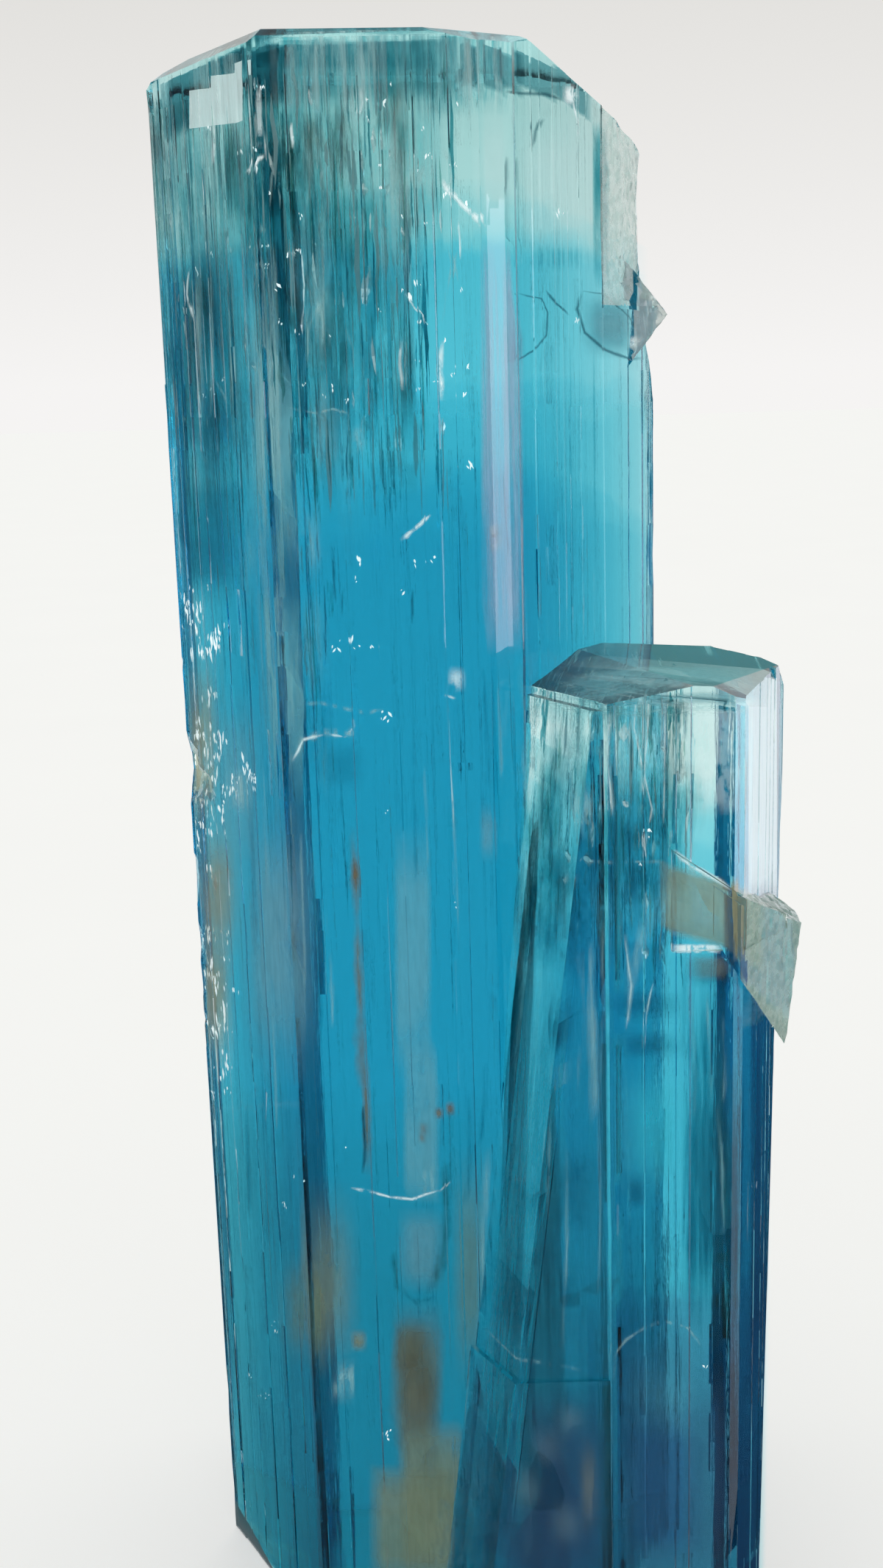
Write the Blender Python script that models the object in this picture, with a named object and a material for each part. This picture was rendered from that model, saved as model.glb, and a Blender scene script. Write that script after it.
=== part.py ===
"""Aquamarine crystal: two hexagonal beryl prisms grown together into one piece.

The tall crystal carries a nearly level termination with bevel facets round it. A shorter crystal has grown
against its front right side and widens down to the foot. A corner of the tall crystal is broken away near the
top, a patch of its left corner is etched, and a broken plate of overgrowth stands out from the short crystal.
The foot is a flat cut, on which the piece stands.

Lengths are millimetres here and become metres in the mesh. Azimuth 0 faces -Y, the front, and +90 faces +X.
A slope is measured from level: 90 is an upright face, and more than 90 faces downwards.
"""

import math
import random

import bmesh
import bpy
from mathutils import Matrix, Vector
from mathutils.noise import noise

MM = 0.001
NODE_NAME = "aquamarine_crystal"

# Tall crystal. Its prism faces are walked from the front left corner as (heading, width).
TALL_HEIGHT = 184.0
TALL_START = Vector((-17.1, -22.0))
TALL_WALK = ((0.0, 22.7), (30.0, 4.1), (60.0, 35.7), (120.0, 16.0), (180.0, 36.1))
TALL_CLOSING = (240.0, 300.0)

# Short crystal, walked the same way. Its last faces lie inside the tall crystal.
SHORT_HEIGHT = 119.2
SHORT_START = Vector((17.1, -30.5))
SHORT_WALK = ((0.0, 13.2), (30.0, 1.3), (67.0, 18.5), (120.0, 13.0), (180.0, 16.7))
SHORT_CLOSING = (240.0, 300.0)

# Termination facets as (azimuth, slope, drop below the height where the facet meets the prism).
TALL_FACETS = (
    (90.0, 1.2, 0.9),
    (-90.0, 11.0, 0.9),
    (0.0, 38.0, 0.9),
    (-60.0, 38.0, 1.4),
    (-120.0, 30.0, 2.0),
    (180.0, 62.0, 1.3),
    (120.0, 32.0, 9.0),
    (90.0, 26.0, 8.8),
    (30.0, 24.0, 1.8),
)
SHORT_FACETS = (
    (90.0, 3.5, 1.5),
    (-60.0, 12.0, 2.4),
    (0.0, 35.0, 0.9),
    (62.0, 27.0, 2.3),
    (100.0, 62.0, 4.0),
    (90.0, 91.4, 13.0),
)

# Growth steps that run up the prism faces.
STEP_WIDTH = (1.5, 4.4)
STEP_DEPTH = 0.26
STEP_MARGIN = 0.9

# The short crystal's skirt: growth that widens it to the left, and a second step lower down.
SKIRT_FRONT = -29.7
SKIRT_LEFT = (-60.0, 84.05, Vector((5.8, -22.0, 70.0)))
SKIRT_TOP = 116.0
STEP_FRONT = -30.1
STEP_LEFT = (-60.0, 84.05, Vector((0.9, -22.0, 34.2)))
STEP_TOP = 39.6

# The broken plate of overgrowth on the short crystal.
PLATE_TOP = (90.0, 35.0, Vector((23.7, 0.0, 101.3)))
PLATE_FRONT = -31.2
PLATE_LEFT = 23.7
PLATE_FOOT = 90.3
WING_TOP = (84.0, 36.0, Vector((23.7, -31.2, 100.6)))
WING_FRONT = (50.0, 90.0, Vector((31.0, -31.5, 0.0)))
WING_FOOT = (-90.0, 121.0, Vector((29.0, 0.0, 90.3)))
WING_EDGES = (
    (90.0, 116.0, Vector((42.2, 0.0, 87.5))),
    (90.0, 98.5, Vector((37.6, 0.0, 78.5))),
    (150.0, 90.0, Vector((40.5, -18.5, 0.0))),
    (-60.0, 121.0, Vector((33.0, -28.0, 77.5))),
)

# Rough cuts as (azimuth, slope, point on the cut, width, height, roughness, seed).
CORNER_BREAK = (71.0, 90.0, Vector((24.3, 10.0, 171.5)), 17.0, 27.0, 0.55, 3)
CORNER_STEP = (60.0, 90.0, Vector((24.0, 7.0, 173.0)), 18.0, 32.0, 0.12, 4)
CORNER_NICK = (84.0, 86.0, Vector((26.6, 11.0, 150.0)), 14.0, 14.0, 0.45, 5)
ETCHED_PATCH = (-64.0, 90.0, Vector((-28.9, -2.0, 94.0)), 16.0, 70.0, 0.8, 6)
SHORT_NICK = (88.0, 70.0, Vector((36.9, -19.5, 115.5)), 7.0, 7.0, 0.4, 7)
ROUGH_CELL = 1.9
ROUGH_DEPTH = 9.0

# A thin flake that the corner break left standing out.
FLAKE = (
    (28.0, 84.0, Vector((26.0, 7.2, 157.0))),
    (170.0, 84.0, Vector((26.0, 10.6, 157.0))),
    (90.0, 50.0, Vector((28.5, 9.0, 156.4))),
    (90.0, 131.0, Vector((28.5, 9.0, 156.4))),
    (-90.0, 90.0, Vector((19.0, 9.0, 157.0))),
)
# The crystals are made this much too long, then cut off level together.
BELOW_FOOT = 9.0

SEED = 11


def heading(degrees):
    """Unit vector in the XY plane, 0 along +X, anticlockwise from above."""
    angle = math.radians(degrees)
    return Vector((math.cos(angle), math.sin(angle)))


def facing(azimuth, slope):
    """Outward normal of a face that slopes down towards an azimuth."""
    a = math.radians(azimuth)
    s = math.radians(slope)
    return Vector((math.sin(a) * math.sin(s), -math.cos(a) * math.sin(s), math.cos(s)))


def walk_corners(start, walk, closing):
    """Corners of a closed outline: the walked faces, then two faces whose widths close it."""
    corners = [start.copy()]
    for degrees, width in walk:
        corners.append(corners[-1] + heading(degrees) * width)
    gap = start - corners[-1]
    first, second = (heading(degrees) for degrees in closing)
    share = (gap.x * second.y - gap.y * second.x) / (first.x * second.y - first.y * second.x)
    corners.append(corners[-1] + first * share)
    return corners


def stepped_outline(corners, seed):
    """The outline with narrow growth steps let into each face. The corners stay where they are."""
    rng = random.Random(seed)
    points = []
    for here, there in zip(corners, corners[1:] + corners[:1]):
        width = (there - here).length
        along = (there - here).normalized()
        inward = Vector((-along.y, along.x))
        points.append(here)
        at = STEP_MARGIN
        while at < width - STEP_MARGIN - STEP_WIDTH[0]:
            end = min(at + rng.uniform(*STEP_WIDTH), width - STEP_MARGIN)
            depth = inward * rng.uniform(0.05, STEP_DEPTH)
            points.append(here + along * at + depth)
            points.append(here + along * (end - 0.15) + depth)
            at = end
    return points


def new_object(name, builder):
    """An object whose mesh comes from a bmesh in millimetres."""
    mesh = bpy.data.meshes.new(name)
    bmesh.ops.scale(builder, vec=(MM, MM, MM), verts=builder.verts)
    bmesh.ops.recalc_face_normals(builder, faces=builder.faces)
    builder.to_mesh(mesh)
    builder.free()
    made = bpy.data.objects.new(name, mesh)
    bpy.context.scene.collection.objects.link(made)
    return made


def prism(name, points, bottom, top):
    builder = bmesh.new()
    base = builder.faces.new([builder.verts.new((p.x, p.y, bottom)) for p in points])
    grown = bmesh.ops.extrude_face_region(builder, geom=[base])
    risen = [item for item in grown["geom"] if isinstance(item, bmesh.types.BMVert)]
    bmesh.ops.translate(builder, vec=(0.0, 0.0, top - bottom), verts=risen)
    return new_object(name, builder)


def convex_solid(name, planes, size=500.0):
    """The solid inside every plane, each given as (azimuth, slope, point on it)."""
    builder = bmesh.new()
    bmesh.ops.create_cube(builder, size=size)
    for azimuth, slope, point in planes:
        cut = bmesh.ops.bisect_plane(
            builder,
            geom=builder.verts[:] + builder.edges[:] + builder.faces[:],
            dist=1e-5,
            plane_co=point,
            plane_no=facing(azimuth, slope),
            clear_outer=True,
        )
        rim = [item for item in cut["geom_cut"] if isinstance(item, bmesh.types.BMEdge)]
        bmesh.ops.contextual_create(builder, geom=rim)
    return new_object(name, builder)


def rough_cutter(name, azimuth, slope, point, width, height, roughness, seed):
    """A block whose inner side is uneven, for taking a broken or etched surface off a face."""
    across = max(2, round(width / ROUGH_CELL))
    upward = max(2, round(height / ROUGH_CELL))
    builder = bmesh.new()
    made = bmesh.ops.create_grid(builder, x_segments=across, y_segments=upward, size=0.5)
    for vert in made["verts"]:
        place = Vector((vert.co.x * width, vert.co.y * height, seed * 7.3))
        lift = noise(place * 0.16) * 1.4 + noise(place * 0.45 + Vector((9.0, 2.0, 4.0))) * 0.6
        rim = max(abs(vert.co.x), abs(vert.co.y)) * 2.0
        vert.co = Vector((place.x, place.y, lift * roughness + 1.1 * roughness * rim ** 4))
    shell = bmesh.ops.extrude_face_region(builder, geom=builder.faces[:])
    outer = [item for item in shell["geom"] if isinstance(item, bmesh.types.BMVert)]
    for vert in outer:
        vert.co.z = ROUGH_DEPTH
    outward = facing(azimuth, slope)
    sideways = Vector((math.cos(math.radians(azimuth)), math.sin(math.radians(azimuth)), 0.0))
    turn = Matrix((sideways, outward.cross(sideways), outward)).transposed().to_4x4()
    bmesh.ops.transform(builder, matrix=Matrix.Translation(point) @ turn, verts=builder.verts)
    return new_object(name, builder)


def combine(target, other, operation):
    """Joins, cuts or intersects target with other, then removes other."""
    modifier = target.modifiers.new(operation.title(), "BOOLEAN")
    modifier.operation = operation
    modifier.object = other
    graph = bpy.context.evaluated_depsgraph_get()
    made = bpy.data.meshes.new_from_object(target.evaluated_get(graph))
    target.modifiers.clear()
    target.data = made
    bpy.data.objects.remove(other)


def tidy(target):
    """Dissolves points that lie along an edge and closes hairline faces, then makes every face a triangle."""
    builder = bmesh.new()
    builder.from_mesh(target.data)
    bmesh.ops.remove_doubles(builder, verts=builder.verts, dist=0.01 * MM)
    bmesh.ops.dissolve_limit(builder, angle_limit=0.002, verts=builder.verts, edges=builder.edges)
    bmesh.ops.dissolve_degenerate(builder, edges=builder.edges, dist=0.004 * MM)
    bmesh.ops.triangulate(builder, faces=builder.faces, ngon_method="BEAUTY")
    builder.to_mesh(target.data)
    builder.free()


def stand_at_origin(target):
    """Moves the mesh so that the middle of its footprint's box is at the origin and its foot at height 0."""
    corners = [vert.co for vert in target.data.vertices]
    middle_x = (min(c.x for c in corners) + max(c.x for c in corners)) / 2.0
    middle_y = (min(c.y for c in corners) + max(c.y for c in corners)) / 2.0
    lowest = min(c.z for c in corners)
    target.data.transform(Matrix.Translation((-middle_x, -middle_y, -lowest)))


def termination(corners, height, facets):
    """Facet planes, placed against the outline that they slope down to."""
    planes = [(0.0, 0.0, Vector((0.0, 0.0, height + 1.0)))]
    for azimuth, slope, drop in facets:
        flat = facing(azimuth, 90.0)
        reach = max(corner.x * flat.x + corner.y * flat.y for corner in corners)
        point = flat * reach
        point.z = height - drop
        planes.append((azimuth, slope, point))
    return planes


def crystal(name, start, walk, closing, height, facets, seed):
    corners = walk_corners(start, walk, closing)
    body = prism(name, stepped_outline(corners, seed), -BELOW_FOOT, height + 8.0)
    top = convex_solid(name + "_top", termination(corners, height, facets))
    combine(body, top, "INTERSECT")
    return body


def upright_block(name, front, left, top, inset):
    """Growth under the short crystal's left side: upright front, leaning left face, level top."""
    return convex_solid(name, (
        (0.0, 90.0, Vector((0.0, front, 0.0))),
        left,
        (0.0, 0.0, Vector((0.0, 0.0, top))),
        (0.0, 180.0, Vector((0.0, 0.0, -BELOW_FOOT - inset))),
        (90.0, 90.0, Vector((21.3 + inset, 0.0, 0.0))),
        (180.0, 90.0, Vector((0.0, -9.7 + inset, 0.0))),
    ))


def plate():
    return convex_solid("plate", (
        PLATE_TOP,
        (0.0, 90.0, Vector((0.0, PLATE_FRONT, 0.0))),
        (-90.0, 90.0, Vector((PLATE_LEFT, 0.0, 0.0))),
        (0.0, 180.0, Vector((0.0, 0.0, PLATE_FOOT))),
        (50.0, 90.0, Vector((31.4, -31.2, 0.0))),
        (180.0, 90.0, Vector((0.0, -24.3, 0.0))),
    ))


def wing():
    return convex_solid("wing", (
        WING_TOP,
        WING_FRONT,
        (0.0, 90.0, Vector((0.0, -31.7, 0.0))),
        WING_FOOT,
        (-90.0, 90.0, Vector((28.0, 0.0, 0.0))),
        (180.0, 90.0, Vector((0.0, -17.3, 0.0))),
    ) + WING_EDGES)


def glass_like(name, colour):
    material = bpy.data.materials.new(name)
    material.use_nodes = True
    shader = material.node_tree.nodes["Principled BSDF"]
    shader.inputs["Base Color"].default_value = colour
    shader.inputs["Roughness"].default_value = 0.06
    shader.inputs["Metallic"].default_value = 0.0
    shader.inputs["IOR"].default_value = 1.57
    return material


def clear_scene():
    for obj in list(bpy.data.objects):
        bpy.data.objects.remove(obj)


def main():
    clear_scene()
    body = crystal(NODE_NAME, TALL_START, TALL_WALK, TALL_CLOSING, TALL_HEIGHT, TALL_FACETS, SEED)
    for cut in (CORNER_STEP, CORNER_BREAK, CORNER_NICK, ETCHED_PATCH):
        combine(body, rough_cutter("cutter", *cut), "DIFFERENCE")
    combine(body, convex_solid("flake", FLAKE), "UNION")
    short = crystal("short_crystal", SHORT_START, SHORT_WALK, SHORT_CLOSING, SHORT_HEIGHT, SHORT_FACETS,
                    SEED + 1)
    combine(short, rough_cutter("cutter", *SHORT_NICK), "DIFFERENCE")
    combine(short, upright_block("skirt", SKIRT_FRONT, SKIRT_LEFT, SKIRT_TOP, 0.6), "UNION")
    combine(short, upright_block("step", STEP_FRONT, STEP_LEFT, STEP_TOP, 1.7), "UNION")
    combine(short, plate(), "UNION")
    combine(short, wing(), "UNION")
    combine(body, short, "UNION")
    combine(body, convex_solid("foot", ((0.0, 0.0, Vector((0.0, 0.0, 0.0))),)), "DIFFERENCE")
    tidy(body)
    stand_at_origin(body)
    body.data.materials.clear()
    body.data.materials.append(glass_like("aquamarine", (0.12, 0.55, 0.66, 1.0)))


main()
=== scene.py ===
import math
import random

import bmesh
import bpy
from mathutils import Matrix, Vector, noise


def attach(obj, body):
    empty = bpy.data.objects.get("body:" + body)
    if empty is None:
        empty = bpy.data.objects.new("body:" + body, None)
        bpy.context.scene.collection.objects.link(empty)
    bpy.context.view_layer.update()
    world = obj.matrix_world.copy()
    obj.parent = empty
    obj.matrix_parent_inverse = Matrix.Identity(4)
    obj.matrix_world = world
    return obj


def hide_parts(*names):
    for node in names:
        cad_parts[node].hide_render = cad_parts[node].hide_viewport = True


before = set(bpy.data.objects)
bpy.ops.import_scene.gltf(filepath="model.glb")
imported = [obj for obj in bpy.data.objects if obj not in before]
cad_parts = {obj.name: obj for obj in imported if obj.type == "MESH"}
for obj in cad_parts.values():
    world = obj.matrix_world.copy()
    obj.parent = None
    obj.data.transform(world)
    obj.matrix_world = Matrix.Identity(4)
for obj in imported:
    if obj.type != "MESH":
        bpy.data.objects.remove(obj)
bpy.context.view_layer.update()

MM = 0.001
NODE = "aquamarine_crystal"
SHIFT = Vector((4.39, -3.44, 0.0))  # from the row frame to the layout frame used for the numbers below, mm
FAR = 999.0  # beyond any part of the crystal, mm

# Camera in the layout frame, in millimetres, degrees and pixels of the 1200 x 2132 frame.
CAMERA_AT = Vector((0.0, -208.0, 150.0))
CAMERA_PITCH = 13.0
CAMERA_ROLL = 1.7
CAMERA_FOCAL = 2400.0
FRAME_SIZE = (1200.0, 2132.0)
SENSOR = 36.0

BERYL_IOR = 1.57
BERYL_BODY = ((0.0, 0.74, 0.75), 17.0)  # colour and density of its absorption, per metre
FROST_CLEAR = 0.45  # share of light that a frosted face still lets through
MIRROR_LOW = (0.12, 0.13, 0.14)  # tint of what the clear faces reflect head on
NO_SHINE = 0.0

# Outlines of the two crystals, seen from above and walked anticlockwise.
TALL_FRONT = -22.0
SHORT_FRONT = -30.5
SKIRT_FRONT = -29.7
TALL = ((-17.1, TALL_FRONT), (5.6, TALL_FRONT), (9.15, -19.95), (27.0, 10.97), (19.0, 24.8), (-17.1, 24.8),
        (-30.6, 1.4))
SHORT = ((17.1, SHORT_FRONT), (30.3, SHORT_FRONT), (31.43, -29.85), (38.66, -12.82), (32.16, -1.56),
         (15.46, -1.56), (7.93, -14.6))
TALL_MIDDLE = (-4.0, 1.0)
SHORT_MIDDLE = (23.0, -16.0)
SHEETS_FROM = 3.0  # heights between which the sheets stay, in each crystal and in the skirt
TALL_SHEETS_TO = 183.4
SHORT_SHEETS_TO = 117.0
SKIRT_SHEETS_TO = 112.0
CURTAINS_FROM = 4.0
CURTAINS_TO = 182.0

# The skirt is the growth at the left of the short crystal. Its left side leans to the right with height.
SKIRT_LEFT = 10.25
SKIRT_RIGHT = 18.5
SKIRT_LEVEL = 70.0  # height at which its front left edge is at SKIRT_LEFT
SKIRT_LEAN = 0.1204  # mm to the right per mm of height
SKIRT_BACK_LEFT = 5.0  # its back left edge at SKIRT_LEVEL
SKIRT_BACK = TALL_FRONT + 1.6  # its back lies in the tall crystal
SKIRT_SLANT = 0.565  # mm to the left per mm towards the back, along its left side

# The faces that the camera sees, from left to right: where each ends across the front plane, its azimuth in
# degrees and a point on it. The second of each three or four is the front plane.
TALL_FACES = ((-17.1, -60.0, TALL[0]), (5.6, 0.0, (0.0, TALL_FRONT)), (9.4, 30.0, TALL[1]),
              (FAR, 60.0, TALL[2]))
SHORT_FACES = ((17.1, 0.0, (0.0, SKIRT_FRONT)), (30.8, 0.0, (0.0, SHORT_FRONT)), (FAR, 67.0, SHORT[2]))


def world_point(point):
    """A layout point in millimetres as a row frame point in metres."""
    return (Vector(point) - SHIFT) * MM


def linked(name, mesh):
    """A new object of this mesh in the scene."""
    made = bpy.data.objects.new(name, mesh)
    bpy.context.scene.collection.objects.link(made)
    return made


def part_of_crystal(piece):
    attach(piece, "root")
    return piece


# ---------------------------------------------------------------- camera model

def camera_axes():
    pitch = math.radians(CAMERA_PITCH)
    roll = math.radians(CAMERA_ROLL)
    forward = Vector((0.0, math.cos(pitch), -math.sin(pitch)))
    right = Vector((1.0, 0.0, 0.0))
    up = right.cross(forward)
    turned_right = right * math.cos(roll) - up * math.sin(roll)
    turned_up = up * math.cos(roll) + right * math.sin(roll)
    return turned_right, turned_up, forward


def sight(px, py):
    """Unit direction from the camera through a pixel of the frame."""
    right, up, forward = camera_axes()
    across = (px - FRAME_SIZE[0] / 2.0) / CAMERA_FOCAL
    down = (py - FRAME_SIZE[1] / 2.0) / CAMERA_FOCAL
    return (forward + right * across - up * down).normalized()


def inside(px, py, depth, azimuth, corner):
    """The layout point that shows at a pixel, this deep behind a prism face that bends the line of sight."""
    turn = math.radians(azimuth)
    normal = Vector((math.sin(turn), -math.cos(turn), 0.0))
    ray = sight(px, py)
    reach = (Vector((*corner, 0.0)) - CAMERA_AT).dot(normal) / ray.dot(normal)
    touch = CAMERA_AT + ray * reach
    cosine = -ray.dot(normal)
    share = 1.0 / BERYL_IOR
    bent = math.sqrt(1.0 - share * share * (1.0 - cosine * cosine))
    inner = ray * share + normal * (share * cosine - bent)
    return touch + inner * (depth / bent)


def behind(px, py, depth, faces):
    """The same, for whichever face of the tall or the short crystal shows at that pixel."""
    across = inside(px, py, 0.0, *faces[1][1:]).x
    for limit, azimuth, corner in faces:
        if across < limit:
            break
    return inside(px, py, depth, azimuth, corner)


# ---------------------------------------------------------------- materials

def grey(value):
    return (value, value, value)


def scaled(colour, share):
    return tuple(value * share for value in colour)


def add(tree, kind, **values):
    """A new node. Each value goes to the input of that name, or else to the setting of that name."""
    node = tree.nodes.new(kind)
    for key, value in values.items():
        if key in node.inputs:
            node.inputs[key].default_value = value
        else:
            setattr(node, key, value)
    return node


def blank_material(name):
    material = bpy.data.materials.new(name)
    material.use_nodes = True
    tree = material.node_tree
    tree.nodes.clear()
    return material, tree, tree.nodes.new("ShaderNodeOutputMaterial")


def new_material(name, **values):
    """A material with one Principled shader that has these values on its inputs."""
    material, tree, out = blank_material(name)
    material.cycles.emission_sampling = "NONE"
    shader = add(tree, "ShaderNodeBsdfPrincipled", **values)
    tree.links.new(shader.outputs["BSDF"], out.inputs["Surface"])
    return material, tree, shader


def glowing(colour, strength):
    """Inputs of a Principled shader that doesn't shine and gives off this light."""
    return {"Specular IOR Level": NO_SHINE, "Emission Color": (*colour, 1.0), "Emission Strength": strength}


def ramp(tree, stops, source):
    node = tree.nodes.new("ShaderNodeValToRGB")
    elements = node.color_ramp.elements
    while len(elements) < len(stops):
        elements.new(0.5)
    for element, (at, colour) in zip(elements, stops):
        element.position = at
        element.color = (*colour, 1.0)
    tree.links.new(source, node.inputs["Fac"])
    return node.outputs["Color"]


def grain(tree, stretch, **values):
    """Noise over object coordinates that are scaled by this vector, for streaks along the crystal."""
    place = tree.nodes.new("ShaderNodeTexCoord")
    mapping = add(tree, "ShaderNodeMapping", Scale=stretch)
    tree.links.new(place.outputs["Object"], mapping.inputs["Vector"])
    node = add(tree, "ShaderNodeTexNoise", **values)
    tree.links.new(mapping.outputs[0], node.inputs["Vector"])
    return node


def absorbing(tree, colour, density):
    """Fills the inside with a colour that only absorbs."""
    absorb = add(tree, "ShaderNodeVolumeAbsorption", Color=(*colour, 1.0), Density=density)
    out = next(node for node in tree.nodes if node.type == "OUTPUT_MATERIAL")
    tree.links.new(absorb.outputs[0], out.inputs["Volume"])


def blended(tree, factor, first, second):
    """A colour that goes from first to second with factor. Each may be a socket or a colour."""
    node = add(tree, "ShaderNodeMix", data_type="RGBA")
    tree.links.new(factor, node.inputs[0])
    for socket, given in ((node.inputs[6], first), (node.inputs[7], second)):
        if isinstance(given, bpy.types.NodeSocket):
            tree.links.new(given, socket)
        else:
            socket.default_value = (*given, 1.0)
    return node.outputs[2]


def mixed_shader(tree, first, second, share=0.0):
    node = tree.nodes.new("ShaderNodeMixShader")
    node.inputs[0].default_value = share
    tree.links.new(first.outputs[0], node.inputs[1])
    tree.links.new(second.outputs[0], node.inputs[2])
    return node


def face_value(tree, name):
    return add(tree, "ShaderNodeAttribute", attribute_name=name).outputs["Fac"]


def crystal_material():
    """Clear beryl. The mesh says which faces are frosted by breakage or etching and which mirror most."""
    material, tree, shader = new_material("beryl_crystal", IOR=BERYL_IOR)
    frost = face_value(tree, "frost")
    mirror = face_value(tree, "mirror")
    streak = grain(tree, (1500.0, 1500.0, 60.0), Scale=1.0, Detail=4.0, Roughness=0.6)
    grit = grain(tree, (1.0, 1.0, 1.0), Scale=900.0, Detail=3.0)
    tint = ramp(tree, ((0.30, (0.95, 0.98, 0.98)), (0.55, grey(1.0))), streak.outputs["Fac"])
    pale = ramp(tree, ((0.35, (0.72, 0.84, 0.80)), (0.60, (0.93, 0.98, 0.95))), grit.outputs["Fac"])
    green = ramp(tree, ((0.35, (0.38, 0.60, 0.53)), (0.60, (0.62, 0.80, 0.72))), grit.outputs["Fac"])
    smooth = ramp(tree, ((0.35, grey(0.0)), (0.80, grey(0.05))), streak.outputs["Fac"])
    rough = ramp(tree, ((0.30, grey(0.10)), (0.70, grey(0.42))), grit.outputs["Fac"])
    broken = blended(tree, face_value(tree, "stain"), pale, green)
    line = blended(tree, mirror, streak.outputs["Color"], grey(0.5))
    for name, socket in (
        ("Transmission Weight", blended(tree, frost, grey(1.0), grey(FROST_CLEAR))),
        ("Base Color", blended(tree, frost, tint, broken)),
        ("Specular Tint", blended(tree, mirror, MIRROR_LOW, grey(1.0))),
        ("Roughness", blended(tree, frost, smooth, rough)),
    ):
        tree.links.new(socket, shader.inputs[name])
    bump = add(tree, "ShaderNodeBump", Strength=0.3, Distance=0.0001)
    tree.links.new(blended(tree, frost, line, grit.outputs["Color"]), bump.inputs["Height"])
    tree.links.new(bump.outputs[0], shader.inputs["Normal"])
    absorbing(tree, *BERYL_BODY)
    return material


def clear_material(name, colour=grey(1.0)):
    """A surface that bends no light and only colours what goes through it."""
    material, tree, out = blank_material(name)
    see = add(tree, "ShaderNodeBsdfTransparent", Color=(*colour, 1.0))
    tree.links.new(see.outputs[0], out.inputs["Surface"])
    return material


def zone_material(name, colour, density):
    """Deeper colour inside the crystal: a body that bends no light and only absorbs."""
    material = clear_material(name)
    absorbing(material.node_tree, colour, density)
    return material


# ---------------------------------------------------------------- mesh helpers

def cad_copy():
    """A new bmesh of the CAD crystal, in layout millimetres."""
    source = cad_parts[NODE]
    builder = bmesh.new()
    builder.from_mesh(source.data)
    bmesh.ops.remove_doubles(builder, verts=builder.verts, dist=1e-6)
    for vert in builder.verts:
        vert.co = vert.co / MM + SHIFT
    return builder


def slice_along(builder, axis, start, stop, step):
    """Cuts the faces by planes across this axis, so that they have points to move."""
    normal = Vector((0.0, 0.0, 0.0))
    normal[axis] = 1.0
    at = start
    while at < stop:
        bmesh.ops.bisect_plane(
            builder,
            geom=builder.verts[:] + builder.edges[:] + builder.faces[:],
            dist=1e-4,
            plane_co=normal * at,
            plane_no=normal,
        )
        at += step


def to_object(name, builder, material):
    mesh = bpy.data.meshes.new(name)
    for vert in builder.verts:
        vert.co = (vert.co - SHIFT) * MM
    builder.to_mesh(mesh)
    builder.free()
    mesh.materials.append(material)
    mesh.polygons.foreach_set("use_smooth", [False] * len(mesh.polygons))
    return linked(name, mesh)


def net(rows, columns, point):
    """A grid of whatever point gives for the shares across and along, each from 0 to 1."""
    return [[point(c / columns, r / rows) for c in range(columns + 1)] for r in range(rows + 1)]


# ---------------------------------------------------------------- crystal surface

ALL = (-FAR, FAR)
SKIN = 0.05  # a face this far outside an outline, in mm, belongs to what grew or stuck out past it

# Where the surface is broken or etched: x, y and z ranges in layout millimetres.
WING = ((31.6, FAR), ALL, (70.0, 102.5))
FLAKE = ((22.0, FAR), ALL, (146.0, 165.0))
LEDGE = ((19.5, FAR), (-8.0, 22.0), (157.5, 181.0))
ETCHED = ((-FAR, -22.0), ALL, (57.0, 131.0))
SHORT_END = (ALL, ALL, (112.0, 120.0))
STAINED = (ALL, ALL, (65.0, 120.5))
FLAKE_FROST = 0.7
SHORT_END_FROST = 0.30
MUCH_FROST = 0.6  # above this, the mesh gets finer uneven facets
BREAK_FROM = 0.33  # a broken or etched face of the tall crystal lies at least this deep inside its outline
UPRIGHT = 0.3  # z of the normal, under which a face counts as upright

SAME_WAY = 0.9994  # cosine between normals, over which two faces are one plane
LINE_DEPTH = 0.03  # of the growth lines, mm
WILD_DEPTH = 0.07  # what is added to it at the top left
WILD_FROM = 146.0
WILD_OVER = 6.0
NICK_DEPTH = 0.45  # of the nicks on the ridges, mm
CALM_NICK_DEPTH = 0.12
FINE_EDGE = 0.7  # edges longer than this are split where it is broken, mm

# Cuts across x, y and z that give the surface points to move: axis, from, to, step.
SLICES = ((0, -30.2, 42.0, 0.8), (1, -31.0, 24.7, 1.3), (2, 2.0, 184.0, 3.7))

STRIP_LOOKS = Vector((0.5, -0.866, 0.0))  # the way the narrow strips on the front right edges face
RIGHT_SIDE_LOOKS = 0.88  # x of the normal, above which a face is the short crystal's right side
RIGHT_SIDE_FROM = 30.5
BRIGHT_SIDE_MIRROR = 0.9
SHORT_END_MIRROR = 0.7


def depth_in(outline, x, y):
    """How far inside the outline a point lies, negative outside."""
    found = 1e9
    for i, (ax, ay) in enumerate(outline):
        bx, by = outline[(i + 1) % len(outline)]
        length = math.hypot(bx - ax, by - ay)
        found = min(found, ((bx - ax) * (y - ay) - (by - ay) * (x - ax)) / length)
    return found


def within(place, box):
    return all(low < value < high for value, (low, high) in zip(place, box))


def frost_of(centre, normal):
    """How frosted a face is, from 0 clear to 1."""
    tall = depth_in(TALL, centre.x, centre.y)
    short = depth_in(SHORT, centre.x, centre.y)
    if within(centre, WING) and short < -SKIN:
        return 1.0
    if within(centre, FLAKE) and tall < -SKIN:
        return FLAKE_FROST
    if (within(centre, LEDGE) or within(centre, ETCHED)) and tall > BREAK_FROM and abs(normal.z) < 0.8:
        return 1.0
    if within(centre, SHORT_END) and normal.z > UPRIGHT and short > -0.2 and tall < 1.0:
        return SHORT_END_FROST
    return 0.0


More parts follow.
